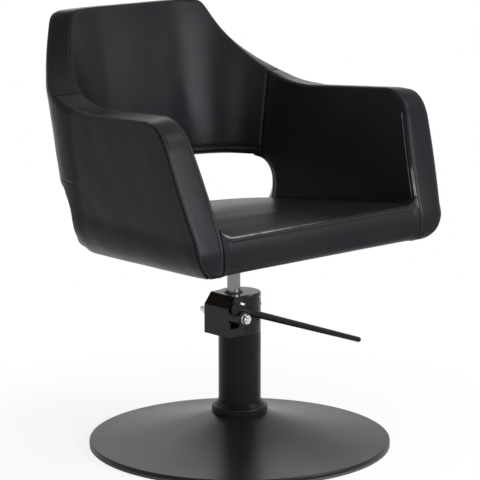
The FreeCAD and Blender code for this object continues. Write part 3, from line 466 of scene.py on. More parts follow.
def read_vectors(items, name):
    values = np.empty(len(items) * 3)
    items.foreach_get(name, values)
    return values.reshape(-1, 3)


MERGE_DISTANCE = 2e-5  # points of neighbouring grids this close become one
JOIN_DIGITS = 5  # decimals to which an edge's ends have to agree with a joint


class Cover:
    """Grids joined edge to edge into one mesh, with the seams that are drawn into it."""

    def __init__(self):
        self.points, self.faces, self.bands, self.sides = [], [], [], []
        # Lines that are sewn, that touch another cover, and that carry single stitches
        self.seams, self.joins, self.top_stitches = [], [], []
        # Padded edges without a seam; the wide ones start narrow at wide_start
        self.edges, self.wide_edges, self.wide_start = [], [], None
        # Lines painted pale, strongly and a little, for worn leather and a painted highlight on rolled edges;
        # that paint fades out towards one side
        self.worn, self.faint = [], []
        self.worn_from = self.worn_over = 1.0
        # Start, height and slope of the line pressed into the outer side
        self.side_line = None
        self.wave_scale = (14.0, 14.0, 14.0)

    def add(self, grid, band=False, side=False):
        rows, columns = grid.shape[:2]
        start = len(self.points)
        self.points.extend(grid.reshape(-1, 3))
        self.bands.extend([float(band)] * (rows * columns))
        self.sides.extend([float(side)] * (rows * columns))
        for row in range(rows - 1):
            for column in range(columns - 1):
                corner = start + row * columns + column
                self.faces.append((corner, corner + 1, corner + columns + 1, corner + columns))

    def build(self, name):
        """Join the grids, keep joints with other covers sharp, close what is open, face it all outwards."""
        mesh = new_mesh(name, self.points, self.faces)
        write_values(mesh, "band", self.bands)
        write_values(mesh, "side_mark", self.sides)
        work = bmesh.new()
        work.from_mesh(mesh)
        bmesh.ops.remove_doubles(work, verts=work.verts, dist=MERGE_DISTANCE)
        crease = work.edges.layers.float.new("crease_edge")
        joined = {tuple(np.round(point, JOIN_DIGITS)) for line in self.joins for point in line}
        for edge in work.edges:
            ends = [tuple(np.round(np.array(vertex.co), JOIN_DIGITS)) for vertex in edge.verts]
            if all(end in joined for end in ends):
                edge[crease] = 1.0
                edge.smooth = False
        bmesh.ops.dissolve_degenerate(work, dist=1e-6, edges=work.edges)
        open_edges = [edge for edge in work.edges if edge.is_boundary]
        if open_edges:
            bmesh.ops.holes_fill(work, edges=open_edges, sides=0)
        bmesh.ops.recalc_face_normals(work, faces=work.faces)
        work.to_mesh(mesh)
        work.free()
        round_shaded(mesh)
        return new_object(name, mesh)


FAR = 1.0  # distance given where no line is near
SEARCH_REACH = 0.12  # how near a run of a line must begin to be measured


def line_distance(points, lines):
    """Least distance from each point to lines of straight runs."""
    best = np.full(len(points), FAR)
    for first, last in (pair for line in lines for pair in zip(line[:-1], line[1:])):
        run = last - first
        size = run @ run
        if size < 1e-14:
            continue
        near = np.where(np.abs(points - first).max(1) < SEARCH_REACH)[0]
        if not len(near):
            continue
        offset = points[near] - first
        step = np.clip(offset @ run / size, 0, 1)
        gap = np.linalg.norm(offset - step[:, None] * run, axis=1)
        best[near] = np.minimum(best[near], gap)
    return best


# Distances from a seam, and the leather's height there in seam depths, on a panel and on a stitched band
SEAM_STEPS = [0, 0.0018, 0.0040, 0.0060, 0.0085, 0.0125, 0.025, 0.06]
PANEL_LIFT = [-1.5, -0.3, 0.25, 0.35, 0.35, 0.4, 0.7, 1]
BAND_LIFT = [-1.5, -0.1, 0.5, -0.5, 0.5, 0.6, 0.8, 1]
WIDE_RUN = 0.09  # how far the wide edge takes to reach its full radius
WIDE_LEAST = 0.12  # share of that radius at its start
EDGE_ITSELF = 2e-4  # nearer than this, a point lies on the edge, which is drawn in less
EDGE_SHARE = 0.42
CALM = 0.03  # distance from a seam at which the waves are full
FINE_WAVE = 2.2  # how much finer the second, lower wave is
FAINT_GAP = 0.0014  # distance added to a faint line, so that its painted wear and highlight is weaker
GAP_LIMIT = 0.05  # greatest distance kept for the shader
SHARP_NORMAL = 0.2  # shorter than this, what is left of a normal isn't used
LINE_START = 0.01  # run over which the line pressed into the side comes in
LINE_PAST = 0.06  # how far behind a rear corner's centre it has gone
LINE_END = 0.05  # run over which it goes


def flatten_normals(t, spots, normals):
    """Keep the joints between back and arms flush: no move across them."""
    for side in (-1, 1):
        along = np.array([-math.sin(t.seam_turn) * side, math.cos(t.seam_turn), 0])
        offset = spots - np.array([t.middle_x + side * t.corner_x, t.corner_y, 0])
        above = spots[:, 2] > t.window_high - 0.001
        beside = (offset[:, 0] * side > 0) & above & (np.abs(offset @ along) < 1e-4)
        normals[beside] -= (normals[beside] @ along)[:, None] * along
    size = np.linalg.norm(normals, axis=1)[:, None]
    return np.where(size > SHARP_NORMAL, normals / np.maximum(size, SHARP_NORMAL), 0)


def draw_seams(piece, cover, leather):
    """Pull the cover in along its seams, raise the lips beside them and lay soft waves between."""
    mesh = piece.data
    t = sizes()
    spots = read_vectors(mesh.vertices, "co")
    normals = flatten_normals(t, spots, read_vectors(mesh.vertex_normals, "vector"))
    gap = line_distance(spots, cover.seams)
    panel, sewn = (np.interp(gap, SEAM_STEPS, leather.seam_depth * np.array(heights))
                   for heights in (PANEL_LIFT, BAND_LIFT))
    lift = np.where(read_values(mesh, "band") > 0.5, sewn, panel)
    wide = leather.wide_edge
    if cover.wide_start is not None:
        wide = wide * np.clip((spots[:, 1] - cover.wide_start) / WIDE_RUN, WIDE_LEAST, 1)
    for edges, radius in ((cover.edges, leather.soft_edge), (cover.wide_edges, wide)):
        bare = line_distance(spots, edges)
        reach = np.clip(1 - bare / radius, 0, 1)
        turned = radius * (1 - np.sqrt(1 - reach ** 2)) * np.where(bare < EDGE_ITSELF, EDGE_SHARE, 1.0)
        lift = np.where(turned > 0, np.minimum(lift, -turned), lift)
    scale = np.array(cover.wave_scale)
    wave = np.array([noise.noise(Vector(point * scale)) + 0.5 * noise.noise(Vector(point * scale * FINE_WAVE))
                     for point in spots])
    lift = lift + leather.wrinkle * wave * np.clip(gap / CALM, 0, 1)
    spots = spots + normals * lift[:, None]
    mesh.vertices.foreach_set("co", spots.ravel())
    # The line pressed into the side is kept as a mask, for its bump and for painted shade in the leather
    if cover.side_line:
        start, foot, slope = cover.side_line
        begun = np.clip((spots[:, 1] - start) / LINE_START, 0, 1)
        fade = begun * np.clip((t.corner_y + LINE_PAST - spots[:, 1]) / LINE_END, 0, 1)
        write_values(mesh, "line_gap", np.clip(spots[:, 2] - foot - slope * (spots[:, 1] - start), -1, 1))
        write_values(mesh, "line_mask", read_values(mesh, "side_mark") * fade)
    # Distances to the lines painted pale for worn leather and a painted highlight, the seat's line fading
    # towards one side; the seam and stitch distances drive painted shade in the grooves
    unworn = np.clip((spots[:, 0] - cover.worn_from) / cover.worn_over, 0, 1) * leather.worn_loss
    worn = np.minimum(line_distance(spots, cover.worn) + unworn, line_distance(spots, cover.faint) + FAINT_GAP)
    stitched = line_distance(spots, cover.top_stitches)
    for name, values in (("seam_gap", gap), ("wear_gap", worn), ("stitch_gap", stitched)):
        write_values(mesh, name, np.minimum(values, GAP_LIMIT))
    mesh.update()


def soften(piece):
    """Subdivide the cover once and keep the result as its mesh."""
    modifier = piece.modifiers.new("Smooth", "SUBSURF")
    modifier.levels = modifier.render_levels = 1
    bpy.context.view_layer.update()
    shaped = bpy.data.meshes.new_from_object(piece.evaluated_get(bpy.context.evaluated_depsgraph_get()))
    piece.modifiers.clear()
    old = piece.data
    shaped.name = old.name
    piece.data = shaped
    bpy.data.meshes.remove(old)


# Sections of one stitch: place along it, thickness and rise, each as a share
STITCH_RINGS = ((0.0, 0.35, 0.0), (0.22, 0.95, 0.55), (0.5, 1.0, 0.75), (0.78, 0.95, 0.55), (1.0, 0.35, 0.0))
STITCH_SIDES = 6
STITCH_START = 0.15  # free share of the pitch before each stitch
STITCH_LEAST = 0.3  # share of its length under which a stitch is left out


def stitch_points(first, last, normal, radius):
    """Points round the sections of one stitch."""
    run = last - first
    side = normal.cross(run).normalized()
    up = run.cross(side).normalized()
    if up.dot(normal) < 0:
        up = -up
    points = []
    for along, size, rise in STITCH_RINGS:
        centre = first + run * along + up * radius * rise
        for step in range(STITCH_SIDES):
            turn = 2 * math.pi * step / STITCH_SIDES
            offset = side * math.cos(turn) + up * math.sin(turn)
            points.append(centre + offset * radius * size)
    return points


def stitch_faces(begin):
    """Faces of one stitch, whose points start at a number."""
    around = range(STITCH_SIDES)
    top = begin + (len(STITCH_RINGS) - 1) * STITCH_SIDES
    faces = []
    for base in range(begin, top, STITCH_SIDES):
        for step in around:
            after = (step + 1) % STITCH_SIDES
            faces.append((base + step, base + after, base + STITCH_SIDES + after, base + STITCH_SIDES + step))
    faces.append(tuple(begin + step for step in reversed(around)))
    faces.append(tuple(top + step for step in around))
    return faces


def sew(name, piece, lines, leather):
    """Row of single stitches on a cover along each line."""
    tree = BVHTree.FromPolygons([vertex.co for vertex in piece.data.vertices],
                                [tuple(face.vertices) for face in piece.data.polygons])
    points = []
    faces = []
    for line in lines:
        runs = np.linalg.norm(np.diff(line, axis=0), axis=1)
        total = np.concatenate([[0], np.cumsum(runs)])
        for step in range(int(total[-1] / leather.stitch_pitch)):
            start = (step + STITCH_START) * leather.stitch_pitch
            ends = [Vector([np.interp(distance, total, line[:, axis]) for axis in range(3)])
                    for distance in (start, start + leather.stitch_length)]
            first, normal = tree.find_nearest(ends[0])[:2]
            last = tree.find_nearest(ends[1])[0]
            if first is None or last is None or (last - first).length < leather.stitch_length * STITCH_LEAST:
                continue
            faces += stitch_faces(len(points))
            points += stitch_points(first, last, normal, leather.stitch_radius)
    mesh = new_mesh(name, points, faces)
    round_shaded(mesh)
    mesh.materials.append(thread_material())
    threads = new_object(name, mesh)
    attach(threads, "seat")


# Materials

def feed(tree, node, inputs):
    """Link each of a node's inputs to a socket, or set it to a value."""
    for name, value in inputs.items():
        if isinstance(value, bpy.types.NodeSocket):
            tree.links.new(value, node.inputs[name])
        else:
            node.inputs[name].default_value = value


def add_node(tree, kind, inputs=None, **settings):
    node = tree.nodes.new(kind)
    for name, value in settings.items():
        setattr(node, name, value)
    feed(tree, node, inputs or {})
    return node


def attribute(tree, name):
    return add_node(tree, "ShaderNodeAttribute", attribute_name=name).outputs["Fac"]


def object_place(tree):
    return add_node(tree, "ShaderNodeTexCoord").outputs["Object"]


def calculated(tree, operation, *values):
    return add_node(tree, "ShaderNodeMath", dict(enumerate(values)), operation=operation).outputs[0]


def ramped(tree, value, start, end, low=0.0, high=1.0, kind="LINEAR"):
    """A value's range from start to end, brought to the range from low to high."""
    inputs = {"Value": value, "From Min": start, "From Max": end, "To Min": low, "To Max": high}
    return add_node(tree, "ShaderNodeMapRange", inputs, interpolation_type=kind).outputs["Result"]


def mixed(tree, share_of_second, first, second):
    """Mix of two colours."""
    inputs = {"Factor": share_of_second, 6: first, 7: second}
    return add_node(tree, "ShaderNodeMix", inputs, data_type="RGBA").outputs[2]


def new_material(name):
    """Fresh material, its node tree and its Principled shader."""
    material = bpy.data.materials.new(name)
    material.use_nodes = True
    return material, material.node_tree, material.node_tree.nodes["Principled BSDF"]


def surface_group():
    """Shared effect: colour and roughness that drift over a surface, with a fine grain."""
    name = "Surface variation"
    if name in bpy.data.node_groups:
        return bpy.data.node_groups[name]
    tree = bpy.data.node_groups.new(name, "ShaderNodeTree")
    tint, number = "NodeSocketColor", "NodeSocketFloat"
    inputs = (
        ("Colour", tint, (0.1, 0.1, 0.1, 1)), ("Other Colour", tint, (0.2, 0.2, 0.2, 1)),
        ("Patch Size", number, 6.0), ("Patch Amount", number, 0.5), ("Roughness", number, 0.4),
        ("Roughness Spread", number, 0.1), ("Grain Size", number, 600.0), ("Grain Cells", number, 0.5),
    )
    for label, kind, value in inputs:
        tree.interface.new_socket(name=label, in_out="INPUT", socket_type=kind).default_value = value
    for label, kind in (("Colour", tint), ("Roughness", number), ("Height", number)):
        tree.interface.new_socket(name=label, in_out="OUTPUT", socket_type=kind)
    given = tree.nodes.new("NodeGroupInput").outputs
    where = object_place(tree)
    patches = add_node(tree, "ShaderNodeTexNoise", {
        "Vector": where, "Scale": given["Patch Size"], "Detail": 5, "Roughness": 0.62}).outputs["Fac"]
    patchy = ramped(tree, patches, 0.35, 0.72, kind="SMOOTHSTEP")
    amount = calculated(tree, "MULTIPLY", patchy, given["Patch Amount"])
    centred = calculated(tree, "SUBTRACT", patches, 0.5)
    grain = {"Vector": where, "Scale": given["Grain Size"]}
    cells = add_node(tree, "ShaderNodeTexVoronoi", {**grain, "Smoothness": 0.35}, feature="SMOOTH_F1")
    fine = add_node(tree, "ShaderNodeTexNoise", {**grain, "Detail": 3})
    height = add_node(tree, "ShaderNodeMix", {
        "Factor": given["Grain Cells"], 2: fine.outputs["Fac"], 3: cells.outputs["Distance"]})
    add_node(tree, "NodeGroupOutput", {
        "Colour": mixed(tree, amount, given["Colour"], given["Other Colour"]),
        "Roughness": calculated(tree, "MULTIPLY_ADD", centred, given["Roughness Spread"], given["Roughness"]),
        "Height": height.outputs[0]})
    return tree


def finish_material(name, main, other, patch, rough, grain, relief, metallic=0.0, coat=0.0, coat_rough=0.1,
                    gloss=0.5):
    """Material of one finish, built on the shared surface effect."""
    if name in bpy.data.materials:
        return bpy.data.materials[name]
    material, tree, shader = new_material(name)
    effect = add_node(tree, "ShaderNodeGroup", node_tree=surface_group())
    feed(tree, effect, {
        "Colour": (*main, 1), "Other Colour": (*other, 1), "Patch Size": patch[0], "Patch Amount": patch[1],
        "Roughness": rough[0], "Roughness Spread": rough[1], "Grain Size": grain[0], "Grain Cells": grain[1]})
    bump = add_node(tree, "ShaderNodeBump", {
        "Strength": relief[0], "Distance": relief[1], "Height": effect.outputs["Height"]})
    feed(tree, shader, {
        "Base Color": effect.outputs["Colour"], "Roughness": effect.outputs["Roughness"],
        "Normal": bump.outputs["Normal"], "Metallic": metallic, "Specular IOR Level": gloss,
        "Coat Weight": coat, "Coat Roughness": coat_rough})
    return material


def leather_material():
    """Fine-grained leather, painted paler along some seam lips for worn leather and a painted highlight, with
    painted shade inside its seams, stitch channels and pressed line.
    """
    name = "Black leather"
    if name in bpy.data.materials:
        return bpy.data.materials[name]
    look = bpy.context.scene.chair_leather
    material = finish_material(name, look.hide, look.warm, patch=(4.5, 0.8), rough=(0.33, 0.10),
                               grain=(520.0, 0.65), relief=(0.28, 0.0003), gloss=0.07)
    tree = material.node_tree
    effect, bump = (next(node for node in tree.nodes if node.type == kind) for kind in ("GROUP", "BUMP"))
    # Pale paint along the worn lines, broken up by noise: partly worn leather, partly a painted highlight of
    # the rolled edges catching the light
    rub = add_node(tree, "ShaderNodeTexNoise", {"Vector": object_place(tree), "Scale": 38, "Detail": 4})
    lip = ramped(tree, attribute(tree, "wear_gap"), 0.0032, 0.0012, kind="SMOOTHSTEP")
    worn = calculated(tree, "MULTIPLY", lip, ramped(tree, rub.outputs["Fac"], 0.3, 0.55, 0.25))
    rubbed = mixed(tree, worn, effect.outputs["Colour"], (*look.edge, 1))
    # Painted shade: the pressed line, the seam grooves and the stitch channels are painted near black, where
    # shade falls in them
    line_gap = calculated(tree, "ABSOLUTE", attribute(tree, "line_gap"))
    line = ramped(tree, line_gap, 0.0026, 0.0006, kind="SMOOTHSTEP")
    pressed = calculated(tree, "MULTIPLY", line, attribute(tree, "line_mask"))
    groove_shade = ramped(tree, attribute(tree, "seam_gap"), 0.0012, 0.0002, high=0.9)
    channel_shade = ramped(tree, attribute(tree, "stitch_gap"), 0.0011, 0.0003, high=0.7)
    painted_shade = calculated(tree, "MAXIMUM", groove_shade, calculated(tree, "MAXIMUM", pressed, channel_shade))
    hollow = add_node(tree, "ShaderNodeBump", {"Distance": 0.0015, "Height": pressed}, invert=True)
    feed(tree, bump, {"Normal": hollow.outputs["Normal"]})
    feed(tree, tree.nodes["Principled BSDF"], {
        "Base Color": mixed(tree, painted_shade, rubbed, (0.0015, 0.0015, 0.0015, 1)),
        "Specular Tint": (0.94, 0.93, 1.0, 1)})
    return material


def lighter(value, times):
    return tuple(min(part * times, 1) for part in value)


def thread_material():
    look = bpy.context.scene.chair_leather
    return finish_material("Thread", look.thread, lighter(look.thread, 1.6), patch=(300.0, 0.5),
                           rough=(0.6, 0.1), grain=(4000.0, 0.2), relief=(0.3, 0.0002))


def dressed_cover(name, node, cover, leather):
    """Finish a cover: seams, smoothing, leather, and what it stands for."""
    piece = cover.build(name)
    draw_seams(piece, cover, leather)
    soften(piece)
    piece.data.materials.append(leather_material())
    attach(piece, "seat")
    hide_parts(node)
    if cover.top_stitches:
        sew(name + "_threads", piece, cover.top_stitches, leather)


# Pieces

RIM_FADE = 0.03  # distance from the rim over which its easing fades out


def rounded_rim(grid, reach=0.045, passes=60):
    """Ease the corner where the grid's first row meets its last column, and what lies near it."""
    rim = np.concatenate([grid[0], grid[1:, -1]])
    steps = np.linalg.norm(np.diff(rim, axis=0), axis=1)
    along = np.concatenate([[0], np.cumsum(steps)])
    corner = along[grid.shape[1] - 1]
    even = np.linspace(corner - 2 * reach, corner + 2 * reach, 81)
    curve = np.stack([np.interp(even, along, rim[:, axis]) for axis in range(3)], -1)
    before = curve.copy()
    for _ in range(passes):
        curve[1:-1] = (curve[:-2] + curve[1:-1] + curve[2:]) / 3
    near = (along > even[0]) & (along < even[-1])
    moved = np.stack([np.interp(along, even, (curve - before)[:, axis]) for axis in range(3)], -1)
    flat = grid.reshape(-1, 3)
    gaps = np.linalg.norm(flat[:, None] - rim[None, near], axis=2)
    fade = np.clip(1 - gaps.min(1) / RIM_FADE, 0, 1) ** 1.5
    return (flat + moved[near][gaps.argmin(1)] * fade[:, None]).reshape(grid.shape)


# Rows of an arm's faces: drops under the crest, shares from there to a steady level over the window, levels
# down to the window's top, levels round the window's end, and shares from there to the foot
ARM_DROPS = np.array([0, 0.0005, 0.0018, 0.0040, 0.0060, 0.0085, 0.0125, 0.018, 0.025, 0.034, 0.046])
ARM_UPPER = np.linspace(0, 1, 7)[1:]
ARM_LEVELS = 8
WINDOW_LEVELS = 24
ARM_LOWER = np.array([0.12, 0.26, 0.4, 0.55, 0.7, 0.84, 0.94, 1.0])
WINDOW_ROW = len(ARM_DROPS) + len(ARM_UPPER) + ARM_LEVELS  # first row of an arm's face under the back
STEADY = 0.084  # height of the steady level over the window
ARM_COLUMNS = 46
ARM_SEARCH = 1.15  # share of the arm's length over which its front is looked for
RIM_SEAM_END = 0.02  # how far behind the sweep's foot the rim's seam ends
RIM_OVERLAP = 0.008  # how far before that the wide edge begins
LINE_SLOPE = 0.6  # share of the arm's rise that the line pressed into its side has
WEAR_HIGHLIGHT_BELOW, WEAR_HIGHLIGHT_ABOVE = 0.13, 0.012  # where the inner seam is painted pale for wear and a painted highlight, under the arm's and the seat's height
FAINT_BELOW, FAINT_ABOVE = 0.03, 0.004  # where it is faint, under the arm's and over the seat's height


def arm_face(t, outline, outside):
    """Grid of the arm's outer or inner face, from the joint with the back to the front outline."""
    steady = t.window_high + STEADY
    half = (t.window_high - t.window_low) / 2
    centre = (t.window_high + t.window_low) / 2
    levels = np.concatenate([
        np.linspace(steady, t.window_high, ARM_LEVELS + 1)[1:],
        centre + half * np.cos(np.linspace(0, math.pi, WINDOW_LEVELS + 1)[1:])])
    low_row = WINDOW_ROW + WINDOW_LEVELS
    number = np.arange(low_row + len(ARM_LOWER))
    far = np.full(len(number), corner_path(t, t.splay) + (t.front + t.corner_y) * ARM_SEARCH)

    def row_points(path):
        top = crest(t, path) - (t.rim_fall if outside else 0.0)
        low = foot_shape(t, path)[1] if outside else underside(t, wall_y(t, path, seat_line(t)))
        start = top[len(ARM_DROPS):-len(levels) - len(ARM_LOWER)] - ARM_DROPS[-1]
        height = np.concatenate([
            top[:len(ARM_DROPS)] - ARM_DROPS, start + (steady - start) * ARM_UPPER, levels,
            t.window_low + (low[low_row:] - t.window_low) * ARM_LOWER])
        return spot(t, path, (arm_outer if outside else arm_inner)(t, path, height, top), height)

    def before_front(path):
        points = row_points(path)
        return points[:, 1] - profile_y(outline, points[:, 2])

    def in_window(path):
        points = row_points(path)
        aside = points[:, 0] - t.middle_x - t.window_side
        depth = math.cos(t.window_skew) * (points[:, 1] - t.window_tip) - math.sin(t.window_skew) * aside
        rise = np.clip(1 - (np.abs(points[:, 2] - centre) / half) ** t.window_square, 0, None)
        return depth - half + half * rise ** (1 / t.window_square)

    start = np.full(len(number), corner_path(t, t.seam_turn))
    end = solve(start, far, before_front)
    end[0] = solve(start, far, lambda path: row_points(path)[:, 1] - outline[-1, 0])[0]
    below_back = number >= WINDOW_ROW
    start = np.where(below_back, corner_path(t, t.foot_turn), start)
    window = solve(start, far, in_window)
    start = np.where(below_back & (number < low_row), np.maximum(start, window), start)
    paths = near_far(start, end, NEAR, ARM_COLUMNS)
    return np.stack([row_points(path) for path in paths.T], 1)


def arm_cover(t, side):
    """Arm with its inner and outer panel and the rim band between them, round the window's end."""
    outline = front_profile(t)
    outer = rounded_rim(arm_face(t, outline, True))
    inner = arm_face(t, outline, False)
    first, last = (np.concatenate([grid[0], grid[1:, -1]]) for grid in (outer, inner))
    rim = across(first, last)
    sole = across(outer[-1], inner[-1])
    rear = across(outer[:, 0], inner[:, 0])
    flip = np.array([side, 1, 1])
    shift = np.array([t.middle_x, 0, 0])

    def turned(*lines):
        """Lines or grids on the side that the arm is for."""
        return [(line - shift) * flip + shift for line in lines]

    cover = Cover()
    grids = turned(outer, inner, rim, sole, rear)
    for number, grid in enumerate(grids):
        cover.add(grid, band=number in (2, 4), side=number == 0)
    sweep_y = t.corner_y - math.cos(t.splay) * (t.sweep_foot - corner_path(t, t.splay)) + RIM_SEAM_END
    wide_start = sweep_y - RIM_OVERLAP
    cover.seams = turned(first[first[:, 1] < sweep_y], last, inner[:WINDOW_ROW, 0], rear[0], rim[-1])
    cover.edges = turned(outer[WINDOW_ROW + 5:, 0], inner[WINDOW_ROW + 3:, 0])
    cover.wide_edges = turned(first[first[:, 1] > wide_start])
    cover.wide_start = wide_start
    cover.joins = turned(outer[3:WINDOW_ROW + 5, 0], inner[WINDOW_ROW:WINDOW_ROW + 3, 0])
    foot = float(np.interp(sweep_y, outer[0, ::-1, 1], outer[0, ::-1, 2]))
    cover.side_line = (sweep_y, foot, -t.arm_rise * LINE_SLOPE)
    # Lines painted pale on the left arm's inner edge only: partly worn leather, partly a painted highlight
    if side > 0:
        low, high = t.seat_height - WEAR_HIGHLIGHT_ABOVE, t.arm_top - WEAR_HIGHLIGHT_BELOW
        cover.worn = [last[(last[:, 2] < high) & (last[:, 2] > low)]]
        low, high = t.seat_height + FAINT_ABOVE, t.arm_top - FAINT_BELOW
        cover.faint = [line[(line[:, 2] < high) & (line[:, 2] > low)]
                       for line in (last, inner[:, -1 - FAINT_COLUMN])]
    cover.top_stitches = turned(rim[:, STITCH_COLUMN], rim[:, -1 - STITCH_COLUMN])
    return cover


BACK_COLUMNS = 44
BACK_ROWS = 25
ROLL_LEAST = 0.0008  # radius of the roll under the back where it meets the arms
ROLL_HIGH = 0.013  # greatest height of its outer part
ROLL_RUN = 0.07  # how far along the back it takes to reach its full size
ROLL_SEAM = 0.0150  # height of the inner panel's lower seam over the window
ROLL_NEAR = 0.014  # height over that seam at which the back's even rows end
LIP_HIGH = 0.0105  # height of the roll's inner part
LIP_DEEP = 0.004  # how far that part stands out from the inner face at the arms
LIP_FULLER = 0.008  # how much more it stands out between them
LIP_BULGE = 0.0022  # how far its middle bows towards the seat
FAINT_START = 0.12  # where the faint line on the rim begins, from the middle


def back_cover(t):
    """Back above the window: inner and outer panel, rim band and the roll along its lower edge."""
    paths = wall_paths(corner_path(t, t.seam_turn), BACK_COLUMNS)
    low = t.window_high
    top = crest(t, paths)
    steps = np.linspace(0, 1, BACK_ROWS + 1)[1:]
    roll_seam = low + ROLL_SEAM
    finish = roll_seam + ROLL_NEAR

    def outer_radius(height, head):
        return wall_outer(t, height) + back_swell(t, paths, height, head) + corner_fill(t, paths, height)

    def face(outside):
        head = top - (t.rim_fall if outside else 0.0)
        start = head - NEAR_WIDE[-1]
        rows = [head - drop for drop in NEAR_WIDE]
        rows += [start + (finish - start) * step for step in steps]
        rows += [np.full_like(paths, roll_seam + rise) for rise in (0.006, 0.0018, 0)]
        height = np.stack(rows)
        if outside:
            return spot(t, paths, outer_radius(height, head), height)
        return spot(t, paths, wall_inner(t, height) - swell(t, (height - low) / (head - low)), height)

    outer = face(True)
    inner = face(False)
    rim = across(outer[0], inner[0])
    full = eased((corner_path(t, t.foot_turn) - np.abs(paths)) / ROLL_RUN)
    size = ROLL_LEAST + (t.pad_round - ROLL_LEAST) * full
    bottom = []
    for turn in np.linspace(0, math.pi / 2, 7):
        level = low + np.minimum(size, ROLL_HIGH) * (1 - math.sin(turn))
        radius = outer_radius(level, top - t.rim_fall)
        bottom.append(spot(t, paths, radius - size * (1 - math.cos(turn)), level))
    inner_low = wall_inner(t, roll_seam) - t.face_crown * 0.25
    deep = LIP_DEEP + LIP_FULLER * full
    for turn in np.radians([90, 72, 54, 36, 18, 0, -20]):
        level = low + LIP_HIGH * (1 - math.sin(turn))
        bulge = LIP_BULGE * full * math.cos(turn) ** 2
        bottom.append(spot(t, paths, inner_low + deep * (1 - math.cos(turn)) - bulge, level))
    cover = Cover()
    cover.add(outer)
    cover.add(inner)
    cover.add(rim, band=True)
    cover.add(np.stack([outer[-1], *bottom, inner[-1]]))
    for end in (0, -1):
        cover.add(across(outer[:, end], inner[:, end]))
    cover.seams = [inner[0], inner[-1], *(np.concatenate([rim[end], inner[:, end]]) for end in (0, -1))]
    cover.wide_edges = [outer[0]]
    cover.joins = [outer[3:, end] for end in (0, -1)]
    # Faint line painted pale on the rim's inner edge on one side: partly wear, partly a painted highlight
    cover.faint = [inner[0][inner[0][:, 0] > t.middle_x + FAINT_START]]
    cover.top_stitches = [rim[:, -1 - STITCH_COLUMN]]
    return cover


SEAT_COLUMNS = 44
ARM_RISE_RADIUS = 0.026  # radius of the seat's rise into the arms
ARM_RISE_RUN = 0.06  # how far behind the front edge that rise has faded out
BAND_EASE = 0.045  # how far down the front band follows the rise
SEAT_STITCH = 0.006  # how far under the front edge the stitches run
SEAT_CLEAR = 0.0002  # gap between the seat and the arms
CROWN_TIMES = 1.2  # how much fuller the crown is made than its given height
WEAR_HIGHLIGHT_SIDE, WEAR_HIGHLIGHT_RUN = 0.17, 0.38  # where the front edge's painted wear and highlight begins to fade, from the middle, and how far


def spaced(start, end):
    """Places from start to end, close together near both."""
    return near_far(np.array([start]), np.array([end]), NEAR_WIDE, SEAT_COLUMNS)[0]


